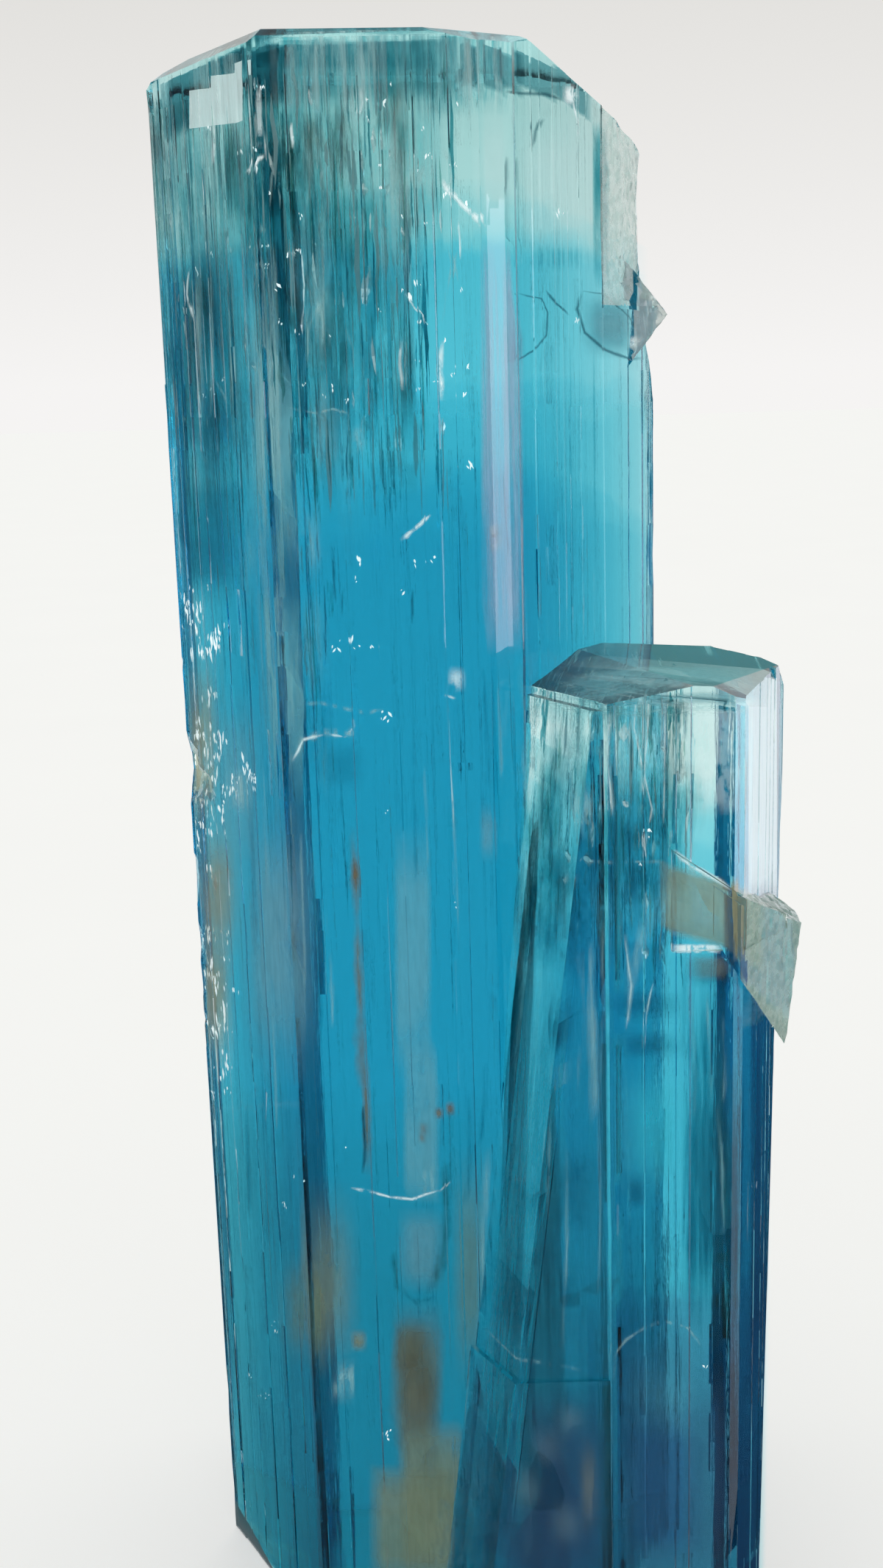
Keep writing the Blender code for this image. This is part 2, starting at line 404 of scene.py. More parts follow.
def is_strip(normal):
    """Whether a face belongs to the narrow strips on the front right edges."""
    return abs(normal.z) < 0.05 and normal.dot(STRIP_LOOKS) > 0.99


def mirror_of(centre, normal):
    """How much a face mirrors: most on the strips and on the short crystal's smooth right side and end."""
    if is_strip(normal):
        return 1.0
    if normal.x > RIGHT_SIDE_LOOKS and centre.x > RIGHT_SIDE_FROM and centre.z > 96.0 and abs(normal.z) < 0.1:
        return BRIGHT_SIDE_MIRROR
    if normal.z > 0.6 and 108.0 < centre.z < 130.0 and centre.x > 8.0:
        return SHORT_END_MIRROR
    return 0.0


def stain_of(centre, normal):
    """Whether a broken face is greener. Its normal makes no difference."""
    return 1.0 if within(centre, STAINED) else 0.0


def is_much_frosted(face):
    return frost_of(face.calc_center_median(), face.normal) > MUCH_FROST


def roughen(builder):
    """Finer, uneven facets on the broken and etched places."""
    chosen = [face for face in builder.faces if is_much_frosted(face)]
    edges = {edge for face in chosen for edge in face.edges if edge.calc_length() > FINE_EDGE}
    bmesh.ops.subdivide_edges(builder, edges=list(edges), cuts=1, use_grid_fill=True)
    bmesh.ops.triangulate(builder, faces=[face for face in builder.faces if len(face.verts) > 4])
    builder.normal_update()
    for vert in builder.verts:
        if all(is_much_frosted(face) for face in vert.link_faces):
            place = vert.co * 0.9
            depth = 0.22 * abs(noise.noise(place)) + 0.10 * abs(noise.noise(place * 2.3))
            vert.co -= vert.normal * depth


def line_depth(place, lead):
    """Depth of the growth lines on a flat face, in mm: wilder at the top left, calm where it mirrors."""
    along = -lead.y * place.x + lead.x * place.y
    wild = 0.5 + 0.5 * math.tanh((place.z - WILD_FROM) / WILD_OVER) if place.x < 4.0 else 0.0
    line = noise.noise(Vector((along * 1.9, lead.x * 9.0, place.z * 0.03)))
    calm = 1.0
    if lead.x > RIGHT_SIDE_LOOKS and place.x > RIGHT_SIDE_FROM:
        calm = 0.04
    elif is_strip(lead):
        calm = 0.08
    return (LINE_DEPTH + WILD_DEPTH * wild) * (1.0 + line) * calm


def nick_depth(place, normals):
    """Depth of the nicks on a ridge, in mm: small beside the strips and at the far right."""
    chip = noise.noise(Vector((place.x * 0.2, place.y * 0.2, place.z * 0.45)))
    near = any(is_strip(normal) for normal in normals) or place.x > 31.0
    return max(0.0, chip - 0.22) * (CALM_NICK_DEPTH if near else NICK_DEPTH)


def striate(builder):
    """Fine growth lines along the upright faces, and small nicks on the ridges between them."""
    builder.normal_update()
    moves = []
    for vert in builder.verts:
        normals = [face.normal for face in vert.link_faces]
        if max(abs(normal.z) for normal in normals) > UPRIGHT or vert.co.z < 1.0:
            continue
        if min(normals[0].dot(normal) for normal in normals) > SAME_WAY:
            depth = line_depth(vert.co, normals[0])
        else:
            depth = nick_depth(vert.co, normals)
        moves.append((vert, vert.normal * depth))
    for vert, move in moves:
        vert.co -= move


def build_crystal():
    builder = cad_copy()
    for cuts in SLICES:
        slice_along(builder, *cuts)
    striate(builder)
    roughen(builder)
    builder.normal_update()
    faces = [(face.calc_center_median(), face.normal.copy()) for face in builder.faces]
    made = to_object("crystal_surface", builder, crystal_material())
    for name, value in (
        ("frost", frost_of),
        ("mirror", mirror_of),
        ("stain", stain_of),
    ):
        layer = made.data.attributes.new(name, "FLOAT", "FACE")
        layer.data.foreach_set("value", [value(centre, normal) for centre, normal in faces])
    return made


# ---------------------------------------------------------------- colour zones

ZONE_BOTTOM = 0.7
ZONE_SLICES = ((0, -30.0, 40.0, 2.1), (1, -31.0, 25.0, 2.3))

# Each zone: the heights of its tops in the tall crystal, the short one and the skirt, how uneven they are,
# colour, density per metre, gap to the faces and how far its tops rise towards the back, in mm and mm per mm.
ZONES = (
    ("zone_high", (168.5, 107.0, 106.0), 3.4, (0.0, 0.80, 0.94), 15.0, 0.4, -0.06),
    ("zone_blue", (165.0, 104.5, 104.0), 3.0, (0.0, 0.80, 0.94), 21.0, 0.5, 0.08),
    ("zone_mid", (146.0, 97.0, 96.0), 2.2, (0.0, 0.73, 0.845), 22.0, 0.6, 0.25),
    ("zone_deep", (138.0, 91.0, 90.0), 2.2, (0.0, 0.73, 0.845), 26.0, 0.7, -0.25),
    ("zone_foot", (57.0, 50.0, 52.0), 4.0, (0.52, 0.50, 0.38), 9.5, 0.9, 0.3),
    ("zone_navy", (None, 45.0, 39.0), 4.0, (0.41, 0.0, 0.30), 17.0, 1.1, 0.0),
    ("zone_skirt", (None, None, 113.0), 1.5, (0.0, 0.60, 0.70), 60.0, 1.3, 0.0),
)


def skirt_shift(z):
    """How far right the skirt's left side is at this height, from where it is at SKIRT_LEVEL."""
    return SKIRT_LEAN * (z - SKIRT_LEVEL)


def inset(outline, distance):
    """The outline with every side moved in by this distance."""
    corners = [Vector(point) for point in outline]
    count = len(corners)
    lines = []
    for i in range(count):
        along = (corners[(i + 1) % count] - corners[i]).normalized()
        inward = Vector((-along.y, along.x))
        lines.append((corners[i] + inward * distance, along))
    moved = []
    for i in range(count):
        (p, d), (q, e) = lines[i - 1], lines[i]
        share = ((q.x - p.x) * e.y - (q.y - p.y) * e.x) / (d.x * e.y - d.y * e.x)
        moved.append(p + d * share)
    return moved


def raw_object(builder):
    """A passing object in layout millimetres, for the union."""
    bmesh.ops.recalc_face_normals(builder, faces=builder.faces)
    mesh = bpy.data.meshes.new("zone")
    builder.to_mesh(mesh)
    builder.free()
    return linked("zone", mesh)


def column(points, bottom, top):
    builder = bmesh.new()
    base = builder.faces.new([builder.verts.new((p.x, p.y, bottom)) for p in points])
    grown = bmesh.ops.extrude_face_region(builder, geom=[base])
    risen = [item for item in grown["geom"] if isinstance(item, bmesh.types.BMVert)]
    bmesh.ops.translate(builder, vec=(0.0, 0.0, top - bottom), verts=risen)
    return raw_object(builder)


def skirt_body(bottom, top, gap):
    """The hull of the skirt, inset by this gap."""
    front = SKIRT_FRONT + gap
    builder = bmesh.new()
    for z in (bottom, top):
        lean = skirt_shift(z)
        for x, y in ((SKIRT_LEFT + lean + gap * 1.3, front), (SKIRT_RIGHT, front),
                     (SKIRT_RIGHT, SKIRT_BACK), (SKIRT_BACK_LEFT + lean + gap * 1.3, SKIRT_BACK)):
            builder.verts.new((x, y, z))
    bmesh.ops.convex_hull(builder, input=builder.verts)
    return raw_object(builder)


def united(parts):
    """One bmesh that is the union of these objects, which are removed."""
    target = parts[0]
    for other in parts[1:]:
        modifier = target.modifiers.new("union", "BOOLEAN")
        modifier.operation = "UNION"
        modifier.object = other
        graph = bpy.context.evaluated_depsgraph_get()
        target.data = bpy.data.meshes.new_from_object(target.evaluated_get(graph))
        target.modifiers.clear()
        bpy.data.objects.remove(other)
    builder = bmesh.new()
    builder.from_mesh(target.data)
    bpy.data.objects.remove(target)
    return builder


def build_zone(name, tops, relief, colour, density, gap, tilt):
    """A deeper coloured body inside the crystal, with an uneven crowned top in each of the grown parts."""
    parts = [column(inset(outline, gap), ZONE_BOTTOM, top)
             for outline, top in zip((TALL, SHORT), tops) if top is not None]
    if tops[2] is not None:
        parts.append(skirt_body(ZONE_BOTTOM, tops[2], gap))
    builder = united(parts)
    for cuts in ZONE_SLICES:
        slice_along(builder, *cuts)
    for vert in builder.verts:
        x, y, z = vert.co
        if any(top is not None and abs(z - top) < 0.01 for top in tops):
            place = Vector((x * 0.16, y * 0.16, z))
            middle, reach = (TALL_MIDDLE, 24.0) if z == tops[0] else (SHORT_MIDDLE, 13.0)
            crown = ((x - middle[0]) ** 2 + (y - middle[1]) ** 2) / reach ** 2
            rise = noise.noise(place) + 0.35 * noise.noise(place * 3.1) - 0.9 * min(crown, 2.0)
            vert.co.z += tilt * (y - middle[1])
            vert.co.z += rise * relief
    bmesh.ops.triangulate(builder, faces=builder.faces)
    part_of_crystal(to_object(name, builder, zone_material(name, colour, density)))


# ---------------------------------------------------------------- meshes of what is sealed in the crystal

def film_material(name, dark, light, clear, lit_through, gloss=0.0):
    """A thin filling. clear is the share that lets all light by, lit_through the share lit from behind."""
    material, tree, out = blank_material(name)
    specks = grain(tree, (900.0, 900.0, 90.0), Scale=1.0, Detail=3.0)
    tint = ramp(tree, ((0.35, dark), (0.65, light)), specks.outputs["Fac"])
    front = tree.nodes.new("ShaderNodeBsdfDiffuse")
    back = tree.nodes.new("ShaderNodeBsdfTranslucent")
    tree.links.new(tint, front.inputs["Color"])
    tree.links.new(tint, back.inputs["Color"])
    body = mixed_shader(tree, front, back, lit_through)
    if gloss:
        shine = add(tree, "ShaderNodeBsdfGlossy", Roughness=0.08, Color=(0.92, 0.96, 0.96, 1.0))
        body = mixed_shader(tree, body, shine, gloss)
    body = mixed_shader(tree, body, tree.nodes.new("ShaderNodeBsdfTransparent"), clear)
    tree.links.new(body.outputs[0], out.inputs["Surface"])
    return material


TUBE_SIDES = 3
TUBE_RINGS = 4
TUBE_FLAT = 0.45  # thickness as a share of the width
TUBE_WOBBLE = 0.75  # how far the middle may be off the straight line, in radii
SHARD_COLUMNS = 2
SHARD_ROWS = 4


class Pile:
    """Points and faces of many small shapes that become one mesh, in layout millimetres."""

    def __init__(self):
        self.points = []
        self.faces = []

    def spindle(self, start, end, radius, rng):
        """A long thin body, pointed at both ends and a little bent."""
        sides, rings = TUBE_SIDES, TUBE_RINGS
        along = end - start
        turn = Matrix.Rotation(rng.uniform(0.0, math.tau), 3, along.normalized())
        first = turn @ along.orthogonal().normalized()
        second = along.normalized().cross(first) * TUBE_FLAT
        base = len(self.points)
        self.points.append(start)
        for ring in range(1, rings):
            share = ring / rings
            girth = radius * (math.sin(math.pi * share) ** 0.6) * rng.uniform(0.75, 1.2)
            bend = rng.uniform(-TUBE_WOBBLE, TUBE_WOBBLE) * radius
            centre = start.lerp(end, share) + first * bend
            for side in range(sides):
                angle = math.tau * side / sides
                self.points.append(centre + (first * math.cos(angle) + second * math.sin(angle)) * girth)
        self.points.append(end)
        last = len(self.points) - 1
        for side in range(sides):
            after = (side + 1) % sides
            self.faces.append((base, base + 1 + after, base + 1 + side))
            for ring in range(rings - 2):
                low = base + 1 + ring * sides
                self.faces.append((low + side, low + after, low + sides + after, low + sides + side))
            low = base + 1 + (rings - 2) * sides
            self.faces.append((low + side, low + after, last))

    def leaf(self, centre, across, upward, bulge, rng):
        """A thin curved shard. across and upward are its half sizes as vectors."""
        rows, columns = SHARD_ROWS, SHARD_COLUMNS
        out = across.cross(upward).normalized() * bulge
        base = len(self.points)
        for row in range(rows + 1):
            v = row / rows * 2.0 - 1.0
            width = max(0.08, (1.0 - abs(v) ** 1.7)) * rng.uniform(0.75, 1.1)
            for col in range(columns + 1):
                u = col / columns * 2.0 - 1.0
                lift = (1.0 - u * u) * (1.0 - 0.5 * v * v) + rng.uniform(-0.15, 0.15)
                self.points.append(centre + across * (u * width + 0.2 * v) + upward * v + out * lift)
        self.join(base, rows + 1, columns + 1)

    def join(self, base, rows, columns):
        """Faces between points that were added row by row from base."""
        for row in range(rows - 1):
            for col in range(columns - 1):
                low = base + row * columns + col
                self.faces.append((low, low + 1, low + columns + 1, low + columns))

    def make(self, name, material):
        mesh = bpy.data.meshes.new(name)
        mesh.from_pydata([world_point(p) for p in self.points], [], self.faces)
        mesh.materials.append(material)
        mesh.polygons.foreach_set("use_smooth", [False] * len(mesh.polygons))
        return part_of_crystal(linked(name, mesh))


# ---------------------------------------------------------------- growth tubes and shards

TUBE_KINDS = ("pale", "dark", "green")
WIDE_RADII = (0.2, 0.4)


def scatter(rng, count, outline, x_range, y_range, z_range, gap, allow=None, skew=1.0):
    """Random layout points inside an outline. skew over 1 crowds them towards the low end of y_range."""
    found = []
    while len(found) < count:
        x = rng.uniform(*x_range)
        y = y_range[0] + (y_range[1] - y_range[0]) * rng.random() ** skew
        z = rng.uniform(*z_range)
        if depth_in(outline, x, y) > gap and (allow is None or allow(x, y)):
            found.append(Vector((x, y, z)))
    return found


def left_of_clear_window(x, y):
    return x < 3.2 - 0.5 * (y - TALL_FRONT)


def streak(pile, place, half, radius, rng, floor, ceiling, slant):
    lean = Vector((rng.gauss(0.0, slant), rng.gauss(0.0, slant), 1.0))
    low = max(floor, place.z - half)
    high = min(ceiling, place.z + half)
    pile.spindle(place + lean * (low - place.z), place + lean * (high - place.z), radius, rng)


def shard(pile, place, size, rng):
    yaw = rng.uniform(0.0, math.pi)
    across = Vector((math.cos(yaw), math.sin(yaw), rng.gauss(0.0, 0.15))) * rng.uniform(0.25, 1.0) * size
    upward = Vector((rng.gauss(0.0, 0.08), rng.gauss(0.0, 0.08), 1.0)) * rng.uniform(1.0, 4.0) * size
    pile.leaf(place, across, upward, rng.uniform(0.1, 0.35) * size, rng)


def tubes(piles, rng, places, shares, halves, radii, limits, wide=0.0, slant=0.012):
    """A growth tube at each place. shares are for the kinds, and wide is the share of thick ones."""
    for place in places:
        pile = piles[rng.choices(TUBE_KINDS, shares)[0]]
        if wide:
            radius = rng.uniform(*(WIDE_RADII if rng.random() < wide else radii))
            half = rng.uniform(*halves)
        else:
            half = rng.uniform(*halves)
            radius = rng.uniform(*radii)
        streak(pile, place, half, radius, rng, *limits, slant)


def build_streaks():
    """Growth tubes: long thin fillings along the crystals, crowded in their upper left, with shards."""
    rng = random.Random(21)
    piles = {key: Pile() for key in TUBE_KINDS + ("shard",)}
    tubes(piles, rng, scatter(rng, 620, TALL, (-30.0, 5.0), (-21.6, 18.0), (138.0, 181.0), 0.5,
                              left_of_clear_window, 1.5),
          (0.42, 0.38, 0.20), (1.0, 7.0), (0.04, 0.14), (133.0, 181.8), wide=0.12)
    tubes(piles, rng, scatter(rng, 90, TALL, (-30.0, -11.0), (-21.6, 18.0), (100.0, 144.0), 0.6, skew=1.6),
          (0.50, 0.35, 0.15), (1.5, 8.0), (0.04, 0.16), (60.0, 150.0))
    tubes(piles, rng, scatter(rng, 150, TALL, (-30.0, 24.0), (-21.0, 24.0), (12.0, 150.0), 0.8),
          (0.6, 0.3, 0.1), (3.0, 14.0), (0.03, 0.08), (6.0, 170.0), slant=0.006)
    tubes(piles, rng, scatter(rng, 260, SHORT, (8.0, 26.0), (-30.2, -3.0), (88.0, 117.5), 0.6),
          (0.42, 0.34, 0.24), (1.0, 6.0), (0.04, 0.15), (84.0, 117.6), wide=0.15, slant=0.03)
    for place in scatter(rng, 150, TALL, (-30.0, 5.0), (-21.6, 10.0), (143.0, 180.0), 0.9,
                         left_of_clear_window, 1.6):
        shard(piles["shard"], place, rng.uniform(0.25, 0.6), rng)
    for place in scatter(rng, 80, SHORT, (9.0, 26.0), (-30.0, -6.0), (86.0, 117.0), 0.8):
        shard(piles["shard"], place, rng.uniform(0.3, 0.7), rng)
    materials = {
        "pale": film_material("tube_pale", (0.80, 0.95, 0.95), grey(1.0), 0.40, 0.90),
        "dark": clear_material("tube_dark", (0.38, 0.66, 0.70)),
        "green": clear_material("tube_green", (0.66, 0.80, 0.78)),
        "shard": film_material("shard_bright", (0.55, 0.75, 0.75), (0.9, 1.0, 1.0), 0.50, 0.5, gloss=0.75),
    }
    for key, pile in piles.items():
        pile.make("streaks_" + key, materials[key])


# ---------------------------------------------------------------- thin sheets

# Cells of each kind of sheet, along and across.
VEIL_CELLS = (8, 6)
CURTAIN_CELLS = (6, 5)
WALL_CELLS = (12, 6)
CAP_CELLS = (6, 8)
SKIRT_ROWS = 14


def soft(share, edge):
    """0 at both ends of 0 to 1 and 1 between them, rising over this edge."""
    t = max(0.0, min(1.0, min(share, 1.0 - share) / edge)) if edge else 1.0
    return t * t * (3.0 - 2.0 * t)


def in_skirt(x, y, z):
    left = SKIRT_LEFT + skirt_shift(z) - SKIRT_SLANT * (y - SKIRT_FRONT)
    return z < SKIRT_SHEETS_TO and SKIRT_FRONT + 0.3 < y < TALL_FRONT + 1.0 and left + 0.4 < x < SKIRT_RIGHT


def held(place):
    """The point itself, or the nearest place towards the middle of its crystal that lies inside."""
    x, y, z = place
    z = max(SHEETS_FROM, min(TALL_SHEETS_TO, z))
    low = z < SHORT_SHEETS_TO
    if depth_in(TALL, x, y) > 0.35 or low and depth_in(SHORT, x, y) > 0.35 or in_skirt(x, y, z):
        return Vector((x, y, z))
    outline, middle = SHORT, SHORT_MIDDLE
    if y > -26.0 or x < 8.0 or z > SHORT_SHEETS_TO:
        outline, middle = TALL, TALL_MIDDLE
    share = 0.0
    while share < 0.9 and depth_in(outline, x + (middle[0] - x) * share, y + (middle[1] - y) * share) < 0.45:
        share += 0.02
    return Vector((x + (middle[0] - x) * share, y + (middle[1] - y) * share, z))


def has_room(place):
    """Whether a curtain may hang through this point."""
    x, y, z = place
    in_tall = depth_in(TALL, x, y) > 0.5 and z < CURTAINS_TO
    in_short = depth_in(SHORT, x, y) > 0.5 and z < SHORT_SHEETS_TO
    return z > CURTAINS_FROM and (in_tall or in_short)


class Sheets(Pile):
    """Thin wavy sheets. Every point also holds how strongly the sheet shows there."""

    def __init__(self):
        super().__init__()
        self.fades = []

    def grid(self, rows):
        """A sheet from rows of points with their fades. A point that had to be moved far doesn't show."""
        base = len(self.points)
        for row in rows:
            for point, fade in row:
                kept = held(point)
                self.points.append(kept)
                self.fades.append(fade if (kept - point).length < 0.3 else 0.0)
        self.join(base, len(rows), len(rows[0]))

    def veil(self, faces, box, depth, strength, edge, wave=1.0, lean=0.0, slope=0.0, to_rim=False,
             sides=None):
        """A sheet that faces the camera and fills a box of pixels, this deep in the crystal."""
        x0, y0, x1, y1 = box
        side_edge = edge if sides is None else sides

        def spot(u, v):
            bend = noise.noise(Vector((x0 * 0.05 + u * 1.6, y0 * 0.05 + v * 2.4, depth)))
            place = behind(x0 + (x1 - x0) * u + lean * (v - 0.5), y0 + (y1 - y0) * v + slope * (u - 0.5),
                           max(0.4, depth + wave * bend), faces)
            return place, strength * soft(u, side_edge) * soft(max(v, 0.5) if to_rim else v, edge)

        self.grid(net(*VEIL_CELLS, spot))

    def ribbon(self, faces, path, width, depth, strength, ends):
        """A narrow sheet along a path of pixels, which fades at its sides and its ends."""
        spots = [Vector(spot) for spot in path]
        rows = []
        total = sum((spots[i + 1] - spots[i]).length for i in range(len(spots) - 1))
        gone = 0.0
        for i in range(len(spots) - 1):
            leg = spots[i + 1] - spots[i]
            steps = max(2, int(leg.length / 14.0))
            side = Vector((-leg.y, leg.x)).normalized() * (width / 2.0)
            for k in range(steps + (1 if i == len(spots) - 2 else 0)):
                at = spots[i] + leg * (k / steps)
                share = (gone + leg.length * k / steps) / total
                fade = strength * max(0.0, min(1.0, min(share, 1.0 - share) / ends + 0.05))
                jitter = 1.0 + 0.5 * noise.noise(Vector((at.x * 0.11, at.y * 0.11, depth)))
                row = []
                for turn, level in ((-1.0, 0.0), (0.0, 1.0), (1.0, 0.0)):
                    spot = at + side * turn * jitter
                    row.append((behind(spot.x, spot.y, depth, faces), fade * level))
                rows.append(row)
            gone += leg.length
        self.grid(rows)

    def sparkle(self, faces, x, y, size, depth, rng, swing=0.9):
        """A few tiny shards round a pixel, painted glints on the spark sheet. swing is how far they may lean
        from upright.
        """
        for _ in range(rng.randint(2, 4)):
            at = behind(x + rng.gauss(0.0, size * 0.5), y + rng.gauss(0.0, size * 0.6),
                        depth + rng.uniform(0.0, 0.5), faces)
            reach = size * rng.uniform(0.25, 0.6) / 13.0
            lean = rng.uniform(-swing, swing)
            along = Vector((lean, 0.0, 1.0)).normalized() * reach * rng.uniform(0.8, 2.2)
            side = Vector((1.0, rng.uniform(-0.4, 0.4), -lean)).normalized() * reach * rng.uniform(0.3, 0.7)
            self.grid([[(at - along, 1.0), (at - along * 0.4 + side * 0.5, 1.0)],
                       [(at - side, 1.0), (at + side, 1.0)],
                       [(at + along * 0.6 - side * 0.7, 1.0), (at + along, 1.0)]])

    def curtain(self, centre, yaw, width, height, strength, rng, lean):
        """A hanging wavy sheet in layout millimetres, left out where it would pass through a face."""
        across = Vector((math.cos(yaw), math.sin(yaw), 0.0))
        out = Vector((-across.y, across.x, 0.0))
        upward = Vector((lean, 0.0, 1.0))
        seed = rng.uniform(0.0, 50.0)

        def spot(u, v):
            bend = noise.noise(Vector((u * 1.3, v * 1.6, seed))) * width * 0.35
            place = centre + across * (u - 0.5) * width + upward * (v - 0.5) * height + out * bend
            return place, strength * soft(u, 0.45) * soft(v, 0.45)

        rows = net(*CURTAIN_CELLS, spot)
        if all(has_room(place) for row in rows for place, _ in row):
            self.grid(rows)

    def make(self, name, material):
        made = super().make(name, material)
        layer = made.data.attributes.new("fade", "FLOAT", "POINT")
        layer.data.foreach_set("value", self.fades)
        return made


# ---------------------------------------------------------------- materials of the sheets

STREAKY = (1100.0, 1100.0, 42.0)
CLOUDY = (220.0, 220.0, 90.0)
SPECKLED = (900.0, 900.0, 500.0)

# Each sheet material: colour, the grain that breaks it up, and the grain values where it starts to show and
# shows in full. A veil also has its greatest cover and its glow, which is painted light. The others only tint
# what shines through.
SHEET_LOOKS = (
    ("teal", (0.16, 0.60, 0.66), STREAKY, 0.40, 0.62),
    ("haze", (0.26, 0.66, 0.71), CLOUDY, 0.30, 0.62),
    ("grey", (0.48, 0.60, 0.64), STREAKY, 0.42, 0.64),
    # This tint darkens the foot of the short crystal: partly its own deep colour, partly painted shade.
    ("navy", (0.34, 0.46, 0.72), CLOUDY, 0.10, 0.35),
    ("brown", (0.56, 0.47, 0.43), STREAKY, 0.30, 0.60),
    # This tint is painted shade: it darkens rims, bands and patches where the crystal lies in shade.
    ("shade", (0.12, 0.44, 0.50), CLOUDY, 0.15, 0.40),
    ("line", (0.10, 0.26, 0.30), CLOUDY, 0.15, 0.35),
    ("mint", (0.62, 0.90, 0.90), STREAKY, 0.42, 0.66, 0.75, 0.25),
    ("aqua", (0.42, 0.80, 0.88), CLOUDY, 0.20, 0.50, 0.70, 0.22),
    ("olive", (0.52, 0.49, 0.31), CLOUDY, 0.12, 0.44, 0.92, 0.17),
    ("mauve", (0.42, 0.68, 0.76), CLOUDY, 0.15, 0.50, 0.60, 0.18),
    ("earth", (0.44, 0.34, 0.21), CLOUDY, 0.15, 0.40, 0.90, 0.10),
    ("orange", (0.55, 0.27, 0.10), CLOUDY, 0.25, 0.55, 0.85, 0.10),
    ("deep", (0.02, 0.36, 0.52), STREAKY, 0.15, 0.62, 0.85, 0.30),
    # This pale glowing sheet is painted light: it brightens the clear window at the top left and the short
    # crystal's right face.
    ("pane", (0.80, 0.97, 0.96), CLOUDY, 0.05, 0.20, 0.80, 0.46),
    # This glowing sheet is a painted reflection of the lilac strip light on the narrow face.
    ("lilac", (0.50, 0.56, 0.76), STREAKY, 0.30, 0.60, 0.75, 0.27),
    ("outer", (0.30, 0.66, 0.80), STREAKY, 0.10, 0.60),
    # This glowing sheet is painted light: the cyan glow low in the short crystal.
    ("cyan", (0.05, 0.66, 0.80), CLOUDY, 0.10, 0.45, 0.70, 0.45),
    # This dark sheet darkens that foot further: partly its own deep colour, partly painted shade.
    ("night", (0.03, 0.09, 0.20), CLOUDY, 0.05, 0.35, 0.75, 0.30),
    ("wall", (0.34, 0.74, 0.80), STREAKY, 0.18, 0.42, 1.0, 0.34),
    # These two white glowing sheets are painted glints on cracks, flakes and etching.
    ("glint", (0.92, 1.00, 1.00), SPECKLED, 0.35, 0.50, 1.0, 0.60),
    ("spark", (0.92, 1.00, 1.00), CLOUDY, 0.05, 0.20, 1.0, 0.75),
)


def shown(tree, stretch, low, high):
    """How strongly a sheet shows: its own fade, broken up by grain."""
    gaps = grain(tree, stretch, Scale=1.0, Detail=4.0, Roughness=0.6)
    cut = ramp(tree, ((low, grey(0.0)), (high, grey(1.0))), gaps.outputs["Fac"])
    product = add(tree, "ShaderNodeMath", operation="MULTIPLY", use_clamp=True)
    tree.links.new(face_value(tree, "fade"), product.inputs[0])
    tree.links.new(cut, product.inputs[1])
    return product.outputs[0]


def tint_material(name, colour, stretch, low, high):
    """A sheet that only colours the light that goes through it."""
    material, tree, out = blank_material(name)
    plain = tree.nodes.new("ShaderNodeBsdfTransparent")
    coloured = add(tree, "ShaderNodeBsdfTransparent", Color=(*colour, 1.0))
    both = mixed_shader(tree, plain, coloured)
    tree.links.new(shown(tree, stretch, low, high), both.inputs[0])
    tree.links.new(both.outputs[0], out.inputs["Surface"])
    return material


def veil_material(name, colour, stretch, low, high, most, glow):
    """A pale sheet that scatters light. glow is painted light: an emission that lifts every veil as if it
    caught the studio light.
    """
    material, tree, shader = new_material(name, Roughness=0.6, **glowing(colour, glow))
    specks = grain(tree, (1400.0, 1400.0, 300.0), Scale=1.0, Detail=3.0)
    tint = ramp(tree, ((0.35, scaled(colour, 0.8)), (0.65, colour)), specks.outputs["Fac"])
    tree.links.new(tint, shader.inputs["Base Color"])
    share = add(tree, "ShaderNodeMath", operation="MULTIPLY")
    share.inputs[1].default_value = most
    tree.links.new(shown(tree, stretch, low, high), share.inputs[0])
    tree.links.new(share.outputs[0], shader.inputs["Alpha"])
    return material


def sheet_material(key, *look):
    """A veil where the look names its cover and glow, and a tint where it doesn't."""
    return (tint_material if len(look) == 4 else veil_material)("sheet_" + key, *look)


# ---------------------------------------------------------------- sheets placed in layout millimetres

def back_wall(sheets):
    """The back left edge is clouded inside, so that it turns no light back into the crystal."""
    start, end = Vector((*TALL[5], 0.0)), Vector((*TALL[6], 0.0))
    inward = Vector((0.866, -0.5, 0.0)) * 0.7
    rise = Vector((0.0, 0.0, CURTAINS_TO - CURTAINS_FROM))
    foot = Vector((0.0, 0.0, CURTAINS_FROM))
    reach = 0.42  # share of the back left face, from its rear corner
    for key, share in (("wall", 1.0), ("outer", 0.75), ("outer", 0.55)):

        def spot(u, v):
            place = start.lerp(end, u * reach) + inward * share + foot + rise * v
            return place, min(1.0, 2.0 * (1.0 - u)) * soft(v, 0.05)

        sheets[key].grid(net(*WALL_CELLS, spot))


def skirt_sheets(sheets):
    """The skirt is clouded just under its front and its leaning left side."""
    for spots, leaning, strength in ((((11.6, -29.1), (14.4, -28.6), (17.6, -29.0)), 2, 0.6),
                                     (((11.5, -29.0), (9.6, -25.6), (7.6, -22.6)), 3, 0.9)):
        rows = []
        for r in range(SKIRT_ROWS + 1):
            z = 6.0 + 88.0 * r / SKIRT_ROWS
            cover = strength * (0.35 + 0.65 * soft(min(0.5, z / 90.0), 0.5)) * soft(r / SKIRT_ROWS, 0.25)
            row = []
            for i, (x, y) in enumerate(spots):
                sway = 0.3 * noise.noise(Vector((x, y, z * 0.09)))
                row.append((Vector((x + (skirt_shift(z) if i < leaning else 0.0), y + sway, z)), cover))
            rows.append(row)
        sheets["deep"].grid(rows)


